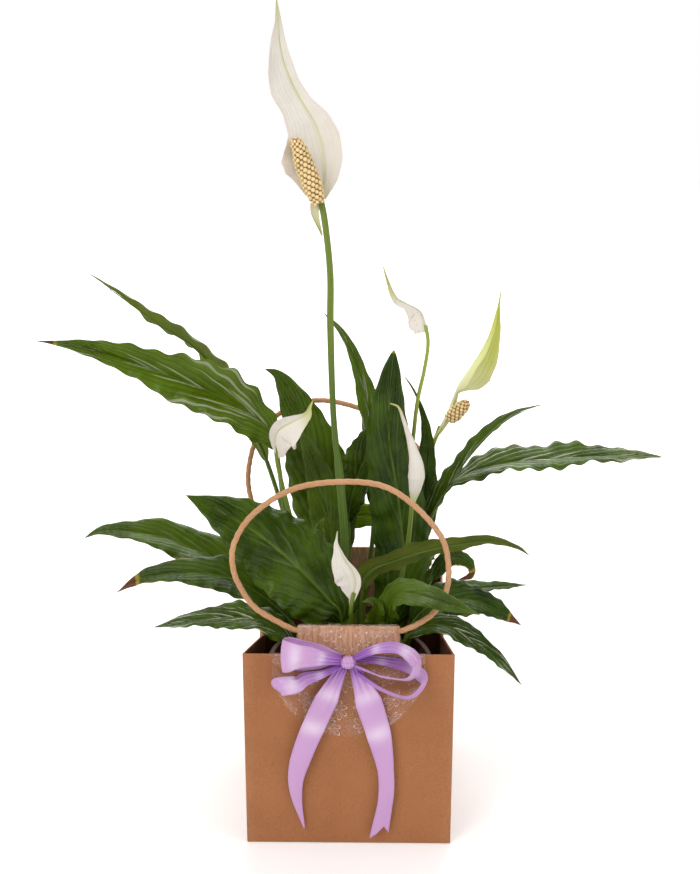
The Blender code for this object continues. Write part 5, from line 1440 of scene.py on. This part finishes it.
def make_spike(name, foot, top, radius):
    foot = Vector(foot)
    top = Vector(top)
    radii = [0.55, 0.95, 1.0, 1.0, 0.97, 0.9, 0.72, 0.35]
    spine = Spine([foot, foot.lerp(top, 0.5), top], [(0.1, -1, 0.1)] * 2, 60)
    bm = start_shape()
    radius *= SPIKE_SWELL
    core = 0.86 * radius * CM
    lay_tube(bm, spine, 40, 20, lambda u, turn: core * along(radii, u))
    marks = bm.verts.layers.float_color["marks"]
    count = KNOBS[name]
    chance = random.Random(count)
    knob_size = radius * CM * 0.29 * math.sqrt(KNOBS["spadix_tall"] / count)
    if name == "spadix_right":
        knob_size *= 0.7
    for knob in range(count):
        share = (knob + 0.5) / count
        point, side, up = spine.at(share)
        angle = GOLDEN_ANGLE * knob
        out = side * math.cos(angle) + up * math.sin(angle)
        wide = along(radii, share)
        size = knob_size * (0.7 + 0.3 * wide) * chance.uniform(0.86, 1.12)
        made = bmesh.ops.create_uvsphere(bm, u_segments=8, v_segments=5, radius=size)["verts"]
        middle = point + out * (core * wide + size * chance.uniform(0.3, 0.6))
        turn = out.to_track_quat("Z", "Y").to_matrix()
        for vert in made:
            height = vert.co.z / size
            flat = Vector((vert.co.x, vert.co.y, vert.co.z * 0.8))
            vert.co = middle + turn @ flat
            # The mark lightens the knob's top and darkens its foot, as painted light and shade.
            vert[marks] = (ease(height, -0.2, 0.85), 0, 0, 1)
    return finish_shape(name, bm, [SPIKE], [name], sharp=80)


for name, foot, top, radius in SPADICES:
    spike = make_spike(name, foot, top, radius)
print("spikes:", len(SPADICES), "with", len(spike.data.polygons), "faces in the last")

# %% [markdown]
# ## Floor and light
# The floor is plain and nearly white. A broad light from the upper left shapes the leaves, a weaker
# one from the right opens the shadows, and one from above and behind draws the edges of the leaves.
# The world gives an even light from all sides. Only for glossy rays is it dark in front and bright
# behind, so that leaves keep their deep green, and the floor glows for the camera alone to stay white.

# %% Floor and light
FLOOR_GLOW = (0.24, 0.80)


def floor_finish():
    made, tree, shader = new_finish("floor", Roughness=0.75, Specular_IOR_Level=0.2)
    cloud = add(tree, "TexNoise", {"Vector": object_place(tree), "Scale": 6.0, "Detail": 3.0})
    tree.links.new(blend_colours(tree, cloud.outputs[0], (0.93, 0.92, 0.92, 1), (0.96, 0.95, 0.95, 1)),
                   shader["Base Color"])
    place = object_place(tree)
    away = add(tree, "VectorMath", {0: place}, operation="LENGTH").outputs["Value"]
    seen = add(tree, "LightPath").outputs["Is Camera Ray"]
    glow = calc(tree, "MULTIPLY", seen, rescale(tree, away, 0.1, 1.3, *FLOOR_GLOW))
    tree.links.new(glow, shader["Emission Strength"])
    shader["Emission Color"].default_value = (1, 1, 1, 1)
    return made


bm = bmesh.new()
bmesh.ops.create_grid(bm, x_segments=2, y_segments=2, size=6.0)
floor_mesh = bpy.data.meshes.new("floor")
bm.to_mesh(floor_mesh)
bm.free()
floor_mesh.materials.append(floor_finish())
floor = bpy.data.objects.new("floor", floor_mesh)
scene.collection.objects.link(floor)
floor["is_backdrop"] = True

world = bpy.data.worlds.new("studio")
world.use_nodes = True
scene.world = world
tree = world.node_tree
for node in list(tree.nodes):
    tree.nodes.remove(node)
AMBIENT = 0.62
way = add(tree, "TexCoord").outputs["Generated"]
towards_back = add(tree, "VectorMath", {0: way, 1: (-0.25, 0.78, 0.57)},
                   operation="DOT_PRODUCT").outputs["Value"]
gloss_level = rescale(tree, towards_back, 0.35, 0.9, 0.04, 2.2)
path = add(tree, "LightPath").outputs
ambient = add(tree, "Background", {"Color": (1.0, 0.985, 0.97, 1), "Strength": AMBIENT})
mirrored = add(tree, "Background", {"Color": (1, 1, 1, 1), "Strength": gloss_level})
backdrop = add(tree, "Background", {"Color": (1, 1, 1, 1), "Strength": 1.0})
lit = add(tree, "MixShader", {0: path["Is Glossy Ray"], 1: ambient.outputs[0], 2: mirrored.outputs[0]})
mixed = add(tree, "MixShader", {0: path["Is Camera Ray"], 1: lit.outputs[0], 2: backdrop.outputs[0]})
tree.links.new(mixed.outputs[0], tree.nodes.new("ShaderNodeOutputWorld").inputs[0])

# Each light: name, place, width, power in watts, colour.
LIGHTS = [
    ("key", (-0.9, -1.1, 1.5), 0.9, 13.0, (1.0, 0.985, 0.96)),
    ("fill", (1.3, -0.8, 0.9), 0.9, 4.0, (0.97, 0.98, 1.0)),
    ("back", (0.15, 1.0, 1.6), 1.0, 12.0, (1.0, 1.0, 1.0)),
]
for name, place, width, power, colour in LIGHTS:
    light = bpy.data.lights.new(name, "AREA")
    light.size = width
    light.energy = power
    light.color = colour
    lamp = bpy.data.objects.new(name, light)
    lamp.location = place
    lamp.rotation_euler = (Vector((0, 0, 0.28)) - Vector(place)).to_track_quat("-Z", "Y").to_euler()
    scene.collection.objects.link(lamp)
scene.view_settings.view_transform = "Standard"
print("lights:", len(LIGHTS))

# %% [markdown]
# The fine pieces should fill the same box as the solid model. Only the box of the fine pieces is
# printed.

# %% Size and finish
low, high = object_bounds()
print("visual model:", [round(size, 3) for size in high - low], "m")
